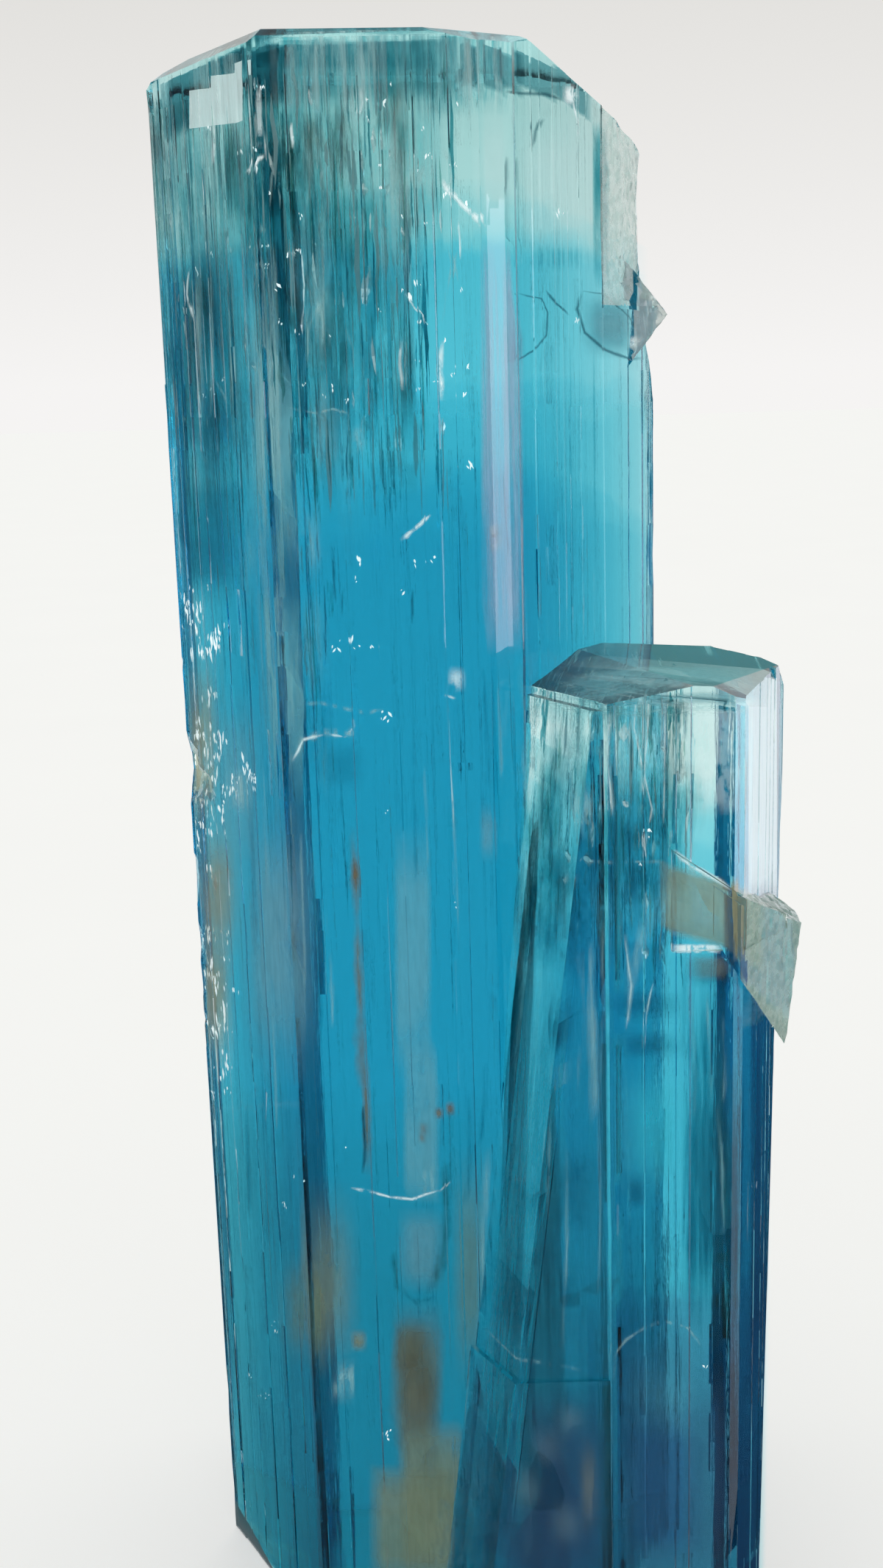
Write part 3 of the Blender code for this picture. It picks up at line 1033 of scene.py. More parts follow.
def cap_sheets(sheets):
    """Faint clouds that lie level just under the end of the short crystal."""
    for key, low in (("aqua", 116.2), ("mint", 115.0)):

        def spot(u, v):
            rise = 0.5 * noise.noise(Vector((u * 3.0, v * 2.0, low)))
            return Vector((12.5 + 21.0 * u, -27.6 + 12.0 * v, low + rise)), 0.9 * soft(u, 0.2) * soft(v, 0.2)

        sheets[key].grid(net(*CAP_CELLS, spot))


CURTAIN_KINDS = ("teal", "grey", "mint", "brown")


def hang(sheets, key, rng, place, turn, widths, heights, strengths, sway=0.0):
    """One curtain, with its random sizes drawn from these ranges."""
    sheets[key].curtain(Vector(place), rng.gauss(0.0, turn), rng.uniform(*widths), rng.uniform(*heights),
                        rng.uniform(*strengths), rng, rng.gauss(0.0, sway) if sway else 0.0)


def hang_curtains(sheets, rng):
    """The clouds of growth tubes, crowded in the upper left of both crystals."""
    for _ in range(230):
        z = 182.0 - 42.0 * rng.random() ** 1.25
        y = -21.3 + 34.0 * rng.random() ** 1.4
        x = rng.uniform(-29.0, 3.0 - 0.45 * (y - TALL_FRONT))
        key = rng.choices(CURTAIN_KINDS, (0.40, 0.18, 0.36, 0.06))[0]
        hang(sheets, key, rng, (x, y, z), 0.6, (3.0, 9.0), (6.0, 24.0), (0.35, 0.9), 0.03)
    for _ in range(46):
        z = 181.0 - 34.0 * rng.random() ** 1.3
        y = -20.8 + 34.0 * rng.random()
        x = rng.uniform(-28.0, 2.5 - 0.45 * (y - TALL_FRONT))
        hang(sheets, "haze", rng, (x, y, z), 0.5, (6.0, 13.0), (8.0, 24.0), (0.4, 0.9), 0.04)
    for _ in range(60):
        y = -21.3 + 28.0 * rng.random() ** 1.4
        x = rng.uniform(-29.0, -13.0)
        key = rng.choices(CURTAIN_KINDS, (0.50, 0.0, 0.50, 0.0))[0]
        hang(sheets, key, rng, (x, y, rng.uniform(108.0, 146.0)), 0.6, (2.0, 6.0), (8.0, 26.0), (0.3, 0.8))
    for _ in range(24):
        place = (rng.uniform(10.0, 24.0), rng.uniform(-28.0, -8.0), rng.uniform(88.0, 115.0))
        hang(sheets, "haze", rng, place, 0.5, (4.0, 9.0), (6.0, 16.0), (0.4, 0.9))
    for _ in range(100):
        z = rng.uniform(86.0, 117.0)
        x = rng.uniform(9.0, 27.0 - max(0.0, 100.0 - z) * 0.5)
        key = rng.choices(CURTAIN_KINDS, (0.40, 0.24, 0.30, 0.06))[0]
        place = (x, rng.uniform(-29.5, -8.0), z)
        hang(sheets, key, rng, place, 0.6, (2.5, 7.0), (4.0, 16.0), (0.35, 0.9), 0.1)


# ---------------------------------------------------------------- sheets placed by pixels of the frame

CALM_TO_RIM = {"wave": 0.5, "to_rim": True}
WAVY_TO_RIM = {"wave": 0.6, "to_rim": True}
UP_THE_RIM = {"wave": 0.4, "slope": -66, "to_rim": True}
CALM_SHARP_SIDES = {"wave": 0.3, "sides": 0.1}
SHARP_SIDES = {"sides": 0.12}
CALM = {"wave": 0.3}
FLAT = {"wave": 0.0}

# Boxes are pixels from left, top to right, bottom, and paths are rows of pixels. Depths are in millimetres.
# A veil row: material, one depth or several, strength, share of the box over which it fades, one box or
# several, settings.
# A line row: material, width in pixels, depth, strength, one path or several, share over which the ends fade.
# A thread row: material, depth, strength, how far it bows, then its threads: left and right of its ends, top,
# bottom and width. A spark: x, y and size.

# Upper left of the tall crystal: a dark band of painted shade with a pale window of painted light, then
# darker clusters.
DARK_CLUSTERS = ((529, 70, 565, 235), (526, 90, 556, 300), (412, 150, 440, 215), (536, 235, 574, 345),
                 (530, 405, 570, 615), (470, 300, 500, 420), (386, 380, 412, 470), (444, 120, 480, 260))
TOP_LEFT_VEILS = (
    ("shade", 6.0, 0.45, 0.25, ((206, 112, 254, 300), (258, 176, 420, 300))),
    ("shade", 6.0, 0.75, 0.25, (262, 50, 470, 150), CALM_TO_RIM),
    ("shade", 7.0, 0.75, 0.25, (400, 45, 660, 140), CALM_TO_RIM),
    ("shade", 9.0, 0.75, 0.25, (262, 46, 640, 100), CALM_TO_RIM),
    ("teal", 2.0, 0.95, 0.3, (300, 50, 480, 190), WAVY_TO_RIM),
    ("mint", 1.5, 0.95, 0.3, (360, 48, 560, 170), WAVY_TO_RIM),
    ("grey", 2.5, 0.95, 0.3, (470, 46, 650, 180), WAVY_TO_RIM),
    ("teal", 3.0, 0.95, 0.3, (560, 48, 720, 160), WAVY_TO_RIM),
    ("mint", 2.0, 0.95, 0.3, (250, 72, 340, 200), WAVY_TO_RIM),
    ("teal", 4.0, 0.95, 0.3, (420, 48, 600, 150), WAVY_TO_RIM),
    ("mint", 2.2, 0.95, 0.3, (590, 50, 700, 150), WAVY_TO_RIM),
    ("shade", 4.0, 0.75, 0.3, (206, 290, 336, 700)),
    ("haze", 2.5, 0.8, 0.3, (206, 330, 330, 660)),
    # Faint pale sheets of painted light.
    ("pane", 1.5, 0.28, 0.35, (640, 150, 700, 330)),
    ("pane", 1.5, 0.28, 0.25, (700, 170, 800, 345)),
    ("shade", (5.0, 8.0), 0.8, 0.2, (208, 84, 352, 170), UP_THE_RIM),
    ("haze", 9.0, 0.9, 0.25, ((204, 120, 420, 330), (400, 60, 620, 330), (300, 240, 620, 420),
                              (210, 300, 360, 660))),
    # The pale window at the top left: a sheet of painted light.
    ("pane", 1.2, 1.0, 0.0, ((255, 121, 285, 173), (285, 101, 317, 169), (317, 84, 328, 166)),
     {"wave": 0.0, "slope": -4}),
    ("brown", 4.0, 0.85, 0.4, DARK_CLUSTERS),
    ("grey", 7.0, 0.9, 0.4, DARK_CLUSTERS),
    ("mint", 3.0, 0.8, 0.4, (470, 575, 500, 620)),
    ("aqua", 5.0, 0.9, 0.4, (330, 440, 384, 800)),
    ("aqua", 5.0, 0.7, 0.4, (346, 760, 410, 1140)),
)
TOP_LEFT_LINES = (
    ("glint", 9, 1.2, 1.0, ((334, 237), (346, 222), (358, 209))),
    ("glint", 11, 1.6, 1.0, ((598, 245), (618, 268), (640, 288), (656, 304))),
    ("glint", 5, 1.7, 1.0, ((656, 304), (664, 323))),
    ("mint", 10, 1.5, 1.0, ((600, 200), (622, 236), (604, 258))),
    ("glint", 4, 1.3, 0.7, ((550, 399), (562, 416), (574, 428), (577, 441))),
    ("mint", 5, 1.5, 1.0, ((391, 555), (430, 562), (452, 556), (474, 562))),
)
TOP_SPARKS = ((519, 140, 7), (620, 226, 6), (374, 390, 6), (556, 408, 6), (574, 437, 5), (604, 462, 4),
              (628, 396, 4), (640, 632, 6), (760, 290, 6), (784, 432, 5), (500, 134, 4), (286, 346, 4))
STREWN_SPARKS = 46
STREWN_SPARK_X = (226.0, 640.0)
STREWN_SPARK_TOP = 110.0
STREWN_SPARK_FOOT = (400.0, 600.0)  # x and y of their lowest place, from which the limit rises both ways
STREWN_LINES = 34
STREWN_LINE_X = (222.0, 640.0)
STREWN_LINE_Y = (120.0, 560.0)
LONG_THREADS = (345, 356, 366, 374)  # x of the long pale threads at the left
LONG_THREAD_PATH = ((-6, 320), (0, 500), (6, 760), (12, 1000))  # from that x, and y
COLUMNS = ((340, 1010, 1300, 14), (392, 1100, 1360, 10), (430, 1180, 1420, 12), (352, 1330, 1560, 10),
           (560, 1010, 1200, 8), (660, 900, 1080, 10), (700, 940, 1200, 8))  # x, top, bottom, width
COLUMN_SHADOW = (-2, 2, 6)  # how far right of that x each point of the dark and of the light line lies
COLUMN_LIGHT = (16, 20, 22)
COLUMN_LIGHT_SHORTER = (30, 20)  # at its top and its bottom
TALL_THREADS = (
    ("mint", 2.0, 1.0, 2, ((283, 285, 348, 567, 6), (311, 313, 336, 567, 6), (268, 270, 508, 601, 6),
                           (415, 417, 420, 500, 6), (437, 439, 300, 470, 6))),
    ("teal", 2.0, 1.0, 3, ((330, 336, 1500, 1660, 12), (352, 360, 1480, 1700, 16),
                           (388, 392, 1490, 1640, 10), (452, 458, 1640, 1740, 9),
                           (640, 634, 1480, 1640, 14), (660, 652, 1440, 1560, 10))),
)

# Upper right of the tall crystal: the rim's steps in painted shade, the lens and the lilac strip, a painted
# reflection.
RIM_STEPS = (((628, 62, 700, 122), 26), ((690, 78, 760, 126), 34), ((750, 104, 806, 148), 40))  # box, slope
TOP_RIGHT_VEILS = (
    ("glint", 1.0, 1.0, 0.4, (764, 112, 790, 146)),
    ("haze", (1.0, 1.6, 2.2), 1.0, 0.2, (806, 165, 834, 395)),
    ("teal", 6.0, 0.7, 0.4, (706, 330, 812, 372)),
    ("grey", 3.0, 0.8, 0.4, (684, 440, 716, 500)),
    ("shade", 2.5, 0.75, 0.35, (788, 394, 874, 490)),
    ("mauve", 1.6, 0.9, 0.5, (786, 392, 878, 490)),
    ("glint", 1.0, 0.9, 0.4, (856, 456, 872, 476)),
    # Over the narrow strip: a painted reflection of the lilac light.
    ("lilac", 0.6, 0.85, 0.14, (652, 322, 714, 892), FLAT),
    ("glint", 0.8, 0.25, 0.4, (662, 708, 686, 752)),
    ("orange", 0.6, 0.45, 0.4, (660, 706, 686, 754)),
)
TOP_RIGHT_LINES = (
    ("line", 7, 2.4, 0.9, ((690, 126), (742, 128), (768, 136))),
    ("glint", 5, 1.0, 0.8, ((779, 136), (786, 160), (789, 186))),
    ("line", 9, 3.0, 0.9, ((738, 160), (728, 178), (724, 202))),
    ("line", 8, 3.5, 0.8, ((692, 212), (691, 268))),
    ("grey", 5, 3.5, 1.0, ((704, 205), (705, 366))),
    ("line", 5, 1.5, 1.0, ((741, 394), (756, 412), (776, 428))),
    ("line", 4, 2.0, 0.9, ((701, 399), (736, 406), (745, 425), (743, 456), (728, 475), (713, 485),
                           (684, 494))),
    ("line", 6, 1.2, 1.0, ((791, 396), (786, 420), (796, 452), (824, 476), (858, 488), (877, 486))),
    ("line", 3, 1.2, 0.7, ((791, 396), (826, 400), (856, 430), (876, 462), (877, 486))),
    ("teal", 4.5, 2.0, 0.8, (((775, 470), (781, 880)), ((789, 470), (793, 880)), ((808, 470), (812, 880)))),
    ("line", 4, 1.0, 0.5, ((684, 640), (688, 700), (692, 760))),
)

# Left edge of the tall crystal: etched and stained, with a band of painted shade and glowing flakes, painted
# glints on the etching.
LEFT_VEILS = (
    ("shade", 3.0, 0.95, 0.3, (222, 620, 336, 830)),
    ("haze", 3.0, 0.3, 0.2, (252, 1480, 420, 2120)),
    ("olive", 0.8, 0.85, 0.45, ((246, 876, 300, 1150), (258, 1100, 330, 1330), (262, 1240, 320, 1460))),
    ("mint", 0.5, 0.8, 0.4, ((262, 950, 300, 1110), (300, 1040, 345, 1110), (252, 790, 285, 890),
                             (276, 1340, 318, 1500))),
    ("mauve", 2.0, 1.0, 0.4, (318, 1080, 436, 1480)),
    ("mauve", 2.0, 0.7, 0.4, (280, 930, 360, 1200)),
)
ETCHED_SPARKS = ((250, 783, 282, 850, 11), (259, 848, 301, 892, 12), (262, 945, 297, 1104, 26),
                 (300, 1042, 343, 1106, 12), (264, 1104, 300, 1240, 9), (272, 1236, 306, 1350, 13),
                 (284, 1340, 318, 1520, 14))  # box, then how many

# Middle of the tall crystal: healed cracks, the red-brown thread and bright flakes that glow as painted
# glints.
MIDDLE_VEILS = (
    ("shade", 4.0, 0.4, 0.4, (430, 1004, 500, 1080)),
    ("glint", 1.5, 0.6, 0.45, (606, 905, 634, 942)),
    ("aqua", 3.0, 0.75, 0.3, (534, 1120, 588, 1480), CALM_SHARP_SIDES),
    ("aqua", 3.0, 0.75, 0.2, (546, 1410, 598, 1640), CALM_SHARP_SIDES),
    ("mauve", 1.5, 0.7, 0.4, (650, 1090, 676, 1175)),
    ("mint", 2.4, 0.7, 0.4, (560, 1580, 604, 1636)),
)
MIDDLE_LINES = (
    ("glint", 8, 1.5, 0.9, ((545, 736), (560, 722), (572, 712), (585, 699))),
    ("line", 6, 3.0, 0.8, ((560, 800), (561, 850))),
    ("line", 5, 3.0, 0.6, ((464, 800), (466, 840))),
    ("mint", 16, 2.0, 1.0, ((396, 1040), (410, 1008), (440, 996), (476, 998), (486, 984))),
    ("glint", 6, 1.8, 0.8, ((398, 1036), (412, 1006), (440, 998))),
    ("glint", 5, 1.8, 0.7, ((440, 998), (468, 1002), (482, 988), (478, 976))),
    ("mint", 8, 2.0, 0.8, ((410, 958), (436, 956), (470, 964), (500, 970), (524, 962))),
    ("glint", 5, 1.5, 0.8, ((604, 946), (622, 950))),
    ("mint", 6, 1.6, 1.0, ((608, 947), (612, 1020), (617, 1120), (622, 1230), (626, 1300))),
    ("glint", 3, 1.5, 0.45, ((609, 960), (612, 1040), (617, 1120))),
    ("orange", 14, 2.5, 1.0, ((477, 1124), (481, 1170), (484, 1210), (486, 1300), (492, 1420), (498, 1500),
                              (500, 1597))),
    ("orange", 20, 2.2, 1.0, (((480, 1165), (483, 1190), (484, 1212)),
                              ((484, 1380), (490, 1430), (494, 1480))), 0.4),
    ("line", 6, 2.0, 1.0, ((492, 1500), (496, 1560), (494, 1598))),
    ("glint", 5, 1.3, 0.85, ((476, 1616), (500, 1620), (530, 1628), (560, 1631), (597, 1618))),
    ("glint", 4, 1.3, 0.6, ((597, 1622), (612, 1606))),
)
MIDDLE_SPARKS = ((490, 764, 6), (565, 765, 5), (456, 881, 6), (478, 880, 7), (452, 884, 4), (526, 976, 6),
                 (502, 880, 5), (526, 1104, 4), (622, 1230, 4), (590, 760, 5), (484, 786, 4), (548, 806, 4))
ORANGE_SPOTS = ((576, 1536, 9), (596, 1514, 8), (612, 1508, 9), (574, 1548, 7))  # x, y, half width

# Foot of the tall crystal: olive and brown stains.
FOOT_STAINS = ((405, 1600, 492, 1880), (372, 1700, 450, 1860))
FOOT_VEILS = (
    ("olive", 3.0, 0.60, 0.45, FOOT_STAINS),
    ("haze", 5.0, 0.45, 0.45, FOOT_STAINS),
    ("olive", 1.5, 1.0, 0.4, (474, 1806, 500, 1840)),
    ("mint", 1.8, 1.0, 0.4, (448, 1846, 492, 1912), {"lean": -20}),
    ("mauve", 3.0, 0.9, 0.3, (540, 1640, 606, 1760)),
    ("earth", 3.0, 0.85, 0.35, ((528, 1766, 606, 1970), (536, 1820, 600, 2010), (532, 1790, 580, 1880)),
     {"sides": 0.28, "lean": -8}),
    ("olive", 3.0, 0.85, 0.2, ((500, 1990, 628, 2160), (540, 1930, 640, 2150)), SHARP_SIDES),
    ("olive", 4.0, 0.6, 0.4, (612, 1560, 664, 1900)),
)
FOOT_LINES = (
    ("brown", 18, 2.5, 1.0, ((604, 1580), (606, 1660), (600, 1720), (580, 1764))),
    ("brown", 14, 2.5, 1.0, ((534, 1700), (540, 1750), (566, 1772), (590, 1764))),
    ("mint", 14, 2.0, 0.9, ((662, 1560), (656, 1700), (648, 1850), (640, 1960))),
)
FOOT_SPARKS = ((372, 1800, 4), (376, 1812, 5), (360, 1900, 4), (352, 1898, 4), (524, 1956, 6), (528, 1948, 5),
               (398, 1600, 5), (386, 1640, 5), (340, 1870, 4), (312, 1880, 3), (470, 1560, 4))

# The short crystal: steps of its skirt, wisps, the window of painted light, the wing's root, then the deep
# foot, partly painted shade.
SKIRT_STEPS = (((798, 894), (762, 920), (730, 942)), ((777, 1020), (746, 1062), (714, 1108)),
               ((766, 1010), (736, 1050), (716, 1084)), ((781, 1188), (740, 1240), (701, 1285)),
               ((772, 1204), (730, 1256), (704, 1290)))
WISPS = ((12, ((826, 968), (824, 1040), (832, 1110))),
         (9, ((868, 894), (862, 990), (886, 1100), (876, 1160))),
         (8, ((884, 900), (880, 1000), (872, 1080))), (9, ((848, 1270), (858, 1340), (852, 1400))),
         (5, ((887, 1336), (878, 1380), (874, 1426))), (6, ((904, 960), (902, 1120))))  # width, path
SHORT_HAZES = ((700, 960, 790, 1160), (700, 900, 900, 1000), (790, 1100, 940, 1230), (700, 1150, 800, 1330))
SHORT_VEILS = (
    ("mint", 2.5, 1.0, 0.4, (781, 1062, 812, 1146)),
    ("haze", 4.0, 0.9, 0.3, SHORT_HAZES),
    ("haze", 6.0, 0.9, 0.2, SHORT_HAZES),
    ("glint", 1.4, 0.22, 0.12, (941, 920, 1004, 1110)),
    ("grey", 2.0, 1.0, 0.3, (898, 900, 944, 1130)),
    ("brown", 3.0, 0.7, 0.3, (900, 900, 940, 1120)),
    ("shade", 1.5, 0.6, 0.3, (922, 884, 1012, 930)),
    ("olive", 1.6, 0.75, 0.10, (893, 1182, 1000, 1282), {"slope": 30}),
    ("aqua", 1.3, 0.5, 0.3, (936, 1192, 980, 1270)),
    ("glint", 1.0, 1.0, 0.25, (911, 1282, 981, 1297), FLAT),
    ("shade", 1.5, 0.8, 0.35, (926, 1294, 1016, 1346)),
    ("olive", 1.3, 0.4, 0.35, (930, 1296, 1000, 1336)),
    # A pale sheet of painted light over the short crystal's bright right face.
    ("pane", 0.5, 0.68, 0.15, (1019, 922, 1057, 1234), {"wave": 0.0, "sides": 0.0, "to_rim": True}),
    ("olive", 1.0, 0.85, 0.1, (996, 1200, 1026, 1312), {"wave": 0.3, "slope": 20}),
    ("shade", 4.0, 0.75, 0.35, (928, 1440, 1010, 1780)),
    # The cyan glow: a sheet of painted light.
    ("cyan", 3.0, 0.6, 0.4, (836, 1440, 940, 1630)),
    ("teal", (1.4, 2.4, 3.4), 1.0, 0.25, (924, 1310, 1008, 1820), SHARP_SIDES),
    ("deep", 0.8, 0.45, 0.3, (930, 1330, 1006, 1840)),
    ("shade", 2.5, 0.85, 0.5, ((694, 1350, 780, 1446), (812, 1338, 946, 1394), (816, 1396, 946, 1446),
                               (846, 1110, 884, 1166))),
    ("mauve", 8.0, 0.30, 0.45, (806, 1440, 930, 1640)),
    ("shade", 1.4, 0.7, 0.4, ((690, 1352, 786, 1440), (700, 1560, 830, 1680), (668, 1700, 800, 1850))),
    ("shade", 1.4, 0.6, 0.2, (660, 1858, 830, 2140)),
    ("shade", 2.5, 0.75, 0.45, (848, 1594, 880, 1650)),
    ("mauve", 2.5, 0.18, 0.3, (836, 1806, 952, 2140)),
    # Navy and dark sheets over the foot: partly its own deep colour, partly painted shade.
    ("navy", 2.0, 0.8, 0.3, ((690, 1900, 836, 2150), (840, 1900, 960, 2150))),
    ("night", 0.5, 0.72, 0.25, (664, 1880, 836, 2190)),
    ("night", 1.8, 0.35, 0.3, (838, 1900, 950, 2190)),
    ("night", 0.5, 0.62, 0.3, (926, 1850, 1000, 2190)),
    ("mauve", 0.4, 0.35, 0.5, ((716, 1930, 770, 2000), (690, 1984, 742, 2060), (740, 2030, 800, 2110),
                               (748, 1900, 800, 1960)), CALM),
    ("mauve", 4.0, 0.25, 0.4, (700, 1870, 830, 2140)),
    ("olive", 0.4, 0.32, 0.45, (784, 1950, 818, 2090), CALM),
)
SHORT_LINES = (
    ("glint", 5, 1.4, 0.55, SKIRT_STEPS),
    ("mint", 22, 2.4, 0.9, SKIRT_STEPS),
    ("line", 7, 1.5, 1.0, ((990, 948), (985, 960), (990, 984))),
    ("glint", 8, 1.2, 0.75, ((914, 1157), (940, 1176), (968, 1192), (996, 1208))),
    ("mint", 16, 1.6, 1.0, ((914, 1157), (940, 1180), (968, 1198), (996, 1214))),
    ("mint", 6, 1.4, 0.8, ((705, 1161), (760, 1168), (830, 1173), (903, 1171))),
    ("mint", 7, 1.2, 0.8, ((656, 1847), (720, 1850), (790, 1862))),
    ("mint", 6, 1.4, 0.9, ((830, 1890), (834, 1843), (850, 1823), (876, 1806), (902, 1796), (935, 1806),
                           (958, 1836))),
    ("mint", 12, 2.5, 0.7, (((716, 2010), (704, 2040), (722, 2110)), ((728, 2020), (720, 2070), (716, 2120)),
                            ((700, 2000), (716, 2030), (734, 2060)))),
)
SHORT_THREADS = (
    ("deep", 0.5, 1.0, 1, ((840, 840, 1084, 1350, 14), (840, 840, 1405, 1612, 14),
                           (840, 840, 1660, 1780, 14)), 0.05),
    ("mint", 1.8, 0.9, 3, ((936, 944, 1330, 1520, 9), (960, 966, 1350, 1500, 8),
                           (980, 985, 1380, 1500, 10), (790, 812, 1290, 1520, 20),
                           (975, 985, 1500, 1680, 8), (820, 818, 1250, 1480, 10))),
    ("mint", 1.2, 0.9, 3, ((800, 806, 1280, 1530, 16), (794, 782, 1330, 1500, 9), (748, 742, 1300, 1700, 7),
                           (770, 764, 1560, 1840, 8), (812, 814, 1500, 1760, 6))),
)
SHORT_SPARKS = ((698, 1384, 5), (704, 1396, 6), (870, 1176, 4), (1030, 1610, 5), (960, 1860, 4),
                (884, 1132, 6))


class Side:
    """Places sheets behind the faces that the camera sees of one crystal."""

    def __init__(self, sheets, faces, rng):
        self.sheets = sheets
        self.faces = faces
        self.rng = rng

    def veils(self, rows):
        for key, depths, strength, edge, boxes, *settings in rows:
            more = settings[0] if settings else {}
            for depth in depths if isinstance(depths, tuple) else (depths,):
                for box in boxes if isinstance(boxes[0], tuple) else (boxes,):
                    self.sheets[key].veil(self.faces, box, depth, strength, edge, **more)

    def line(self, key, path, width, depth, strength, ends=0.15):
        self.sheets[key].ribbon(self.faces, path, width, depth, strength, ends)

    def lines(self, rows):
        for key, width, depth, strength, paths, *ends in rows:
            for path in paths if isinstance(paths[0][0], tuple) else (paths,):
                self.line(key, path, width, depth, strength, *ends)

    def threads(self, rows):
        for key, depth, strength, bow, spans, *ends in rows:
            for x0, x1, top, bottom, width in spans:
                path = ((x0, top), ((x0 + x1) / 2 + bow, (top + bottom) / 2), (x1, bottom))
                self.line(key, path, width, depth, strength, *ends)

    def sparks(self, spots, depth):
        for x, y, size in spots:
            self.sheets["spark"].sparkle(self.faces, x, y, size, depth, self.rng)

    def strewn_sparks(self):
        """Many small glowing flakes among the growth tubes at the upper left: painted glints."""
        rng = self.rng
        foot_x, foot_y = STREWN_SPARK_FOOT
        for _ in range(STREWN_SPARKS):
            x = rng.uniform(*STREWN_SPARK_X)
            y = rng.uniform(STREWN_SPARK_TOP, foot_y - 0.25 * abs(x - foot_x))
            size = rng.uniform(2.2, 4.5)
            self.sheets["spark"].sparkle(self.faces, x, y, size, rng.uniform(0.8, 2.5), rng, 0.5)

    def strewn_lines(self):
        """Many short pale lines in the same place, about a third of them glowing glints: painted light."""
        rng = self.rng
        for _ in range(STREWN_LINES):
            x = rng.uniform(*STREWN_LINE_X)
            y = rng.uniform(*STREWN_LINE_Y)
            lean = rng.gauss(0.0, 6.0)
            reach = rng.uniform(16.0, 46.0)
            key = "glint" if rng.random() < 0.35 else "mint"
            path = ((x - lean, y - reach), (x + rng.gauss(0.0, 3.0), y), (x + lean, y + reach))
            self.line(key, path, rng.uniform(4.0, 9.0), rng.uniform(1.0, 3.0), rng.uniform(0.5, 0.9))

    def etched_sparks(self):
        """Crowded upright glowing flakes on the etched left edge: partly its white etch marks, partly painted
        glints.
        """
        rng = self.rng
        for x0, y0, x1, y1, count in ETCHED_SPARKS:
            for _ in range(count):
                x = rng.uniform(x0, x1)
                y = rng.uniform(y0, y1)
                self.sheets["spark"].sparkle(self.faces, x, y, rng.uniform(7.0, 14.0), 0.5, rng, 0.35)


def place_tall(side):
    """Cracks, flakes, stains and columns of the tall crystal, with painted shade and painted light, each
    where it shows.
    """
    side.veils(TOP_LEFT_VEILS)
    side.lines(TOP_LEFT_LINES)
    side.sparks(TOP_SPARKS, 1.2)
    side.strewn_sparks()
    side.strewn_lines()
    for x in LONG_THREADS:
        side.line("mint", tuple((x + shift, y) for shift, y in LONG_THREAD_PATH), 16, 3.0, 0.9, 0.3)
    for x, top, bottom, width in COLUMNS:
        middle = (top + bottom) / 2
        below, above = COLUMN_LIGHT_SHORTER
        shadow = tuple((x + shift, y) for shift, y in zip(COLUMN_SHADOW, (top, middle, bottom)))
        light = tuple((x + shift, y) for shift, y in zip(COLUMN_LIGHT, (top + below, middle, bottom - above)))
        side.line("teal", shadow, width, 2.5, 1.0)
        side.line("mint", light, width * 0.7, 2.0, 0.7)
    side.threads(TALL_THREADS)
    # Shade sheets along the rim's steps at the upper right: painted shade.
    for box, slope in RIM_STEPS:
        settings = {"wave": 0.5, "slope": slope, "to_rim": True}
        side.veils((("shade", 6.0, 0.65, 0.12, box, settings), ("shade", 8.0, 0.45, 0.12, box, settings)))
    side.veils(TOP_RIGHT_VEILS)
    side.lines(TOP_RIGHT_LINES)
    side.veils(LEFT_VEILS)
    side.etched_sparks()
    side.veils(MIDDLE_VEILS)
    side.lines(MIDDLE_LINES)
    side.sparks(MIDDLE_SPARKS, 1.5)
    for x, y, half in ORANGE_SPOTS:
        side.veils((("orange", 1.4, 1.0, 0.5, (x - half, y - half * 1.4, x + half, y + half * 1.4)),))
    side.veils(FOOT_VEILS)
    side.lines(FOOT_LINES)
    side.sparks(FOOT_SPARKS, 1.0)


def place_short(side):
    """The same for the short crystal."""
    side.veils(SHORT_VEILS)
    side.lines(SHORT_LINES)
    for width, path in WISPS:
        side.line("mint", path, width, 1.8, 1.0)
        side.line("glint", path, width * 0.4, 1.5, 0.4)
    side.threads(SHORT_THREADS)
    side.sparks(SHORT_SPARKS, 1.2)


def build_sheets():
    rng = random.Random(33)
    sheets = {look[0]: Sheets() for look in SHEET_LOOKS}
    hang_curtains(sheets, rng)
    place_tall(Side(sheets, TALL_FACES, rng))
    place_short(Side(sheets, SHORT_FACES, rng))
    back_wall(sheets)
    cap_sheets(sheets)
    skirt_sheets(sheets)
    for look in SHEET_LOOKS:
        sheets[look[0]].make("inside_" + look[0], sheet_material(*look))


# ---------------------------------------------------------------- stage, light, camera

FLOOR_REACH = 6.0  # metres each way
FLOOR_DROP = 0.0002  # metres, so that it doesn't lie in the plane of the foot
FLOOR_COLOUR = (0.86, 0.855, 0.845)
LILAC = (0.95, 0.90, 1.0)
NAVY = (0.02, 0.05, 0.12)
ROOM = (0.08, 0.11, 0.12)


def upright(centre, across, bottom, top):
    """Corners of an upright card, from its middle and its half width as a vector."""
    (x, y), (dx, dy) = centre, across
    return [(x - dx, y - dy, bottom), (x + dx, y + dy, bottom), (x + dx, y + dy, top), (x - dx, y - dy, top)]


def lying(*corners):
    """Corners of a card just above the floor."""
    return [(x, y, 0.3) for x, y in corners]


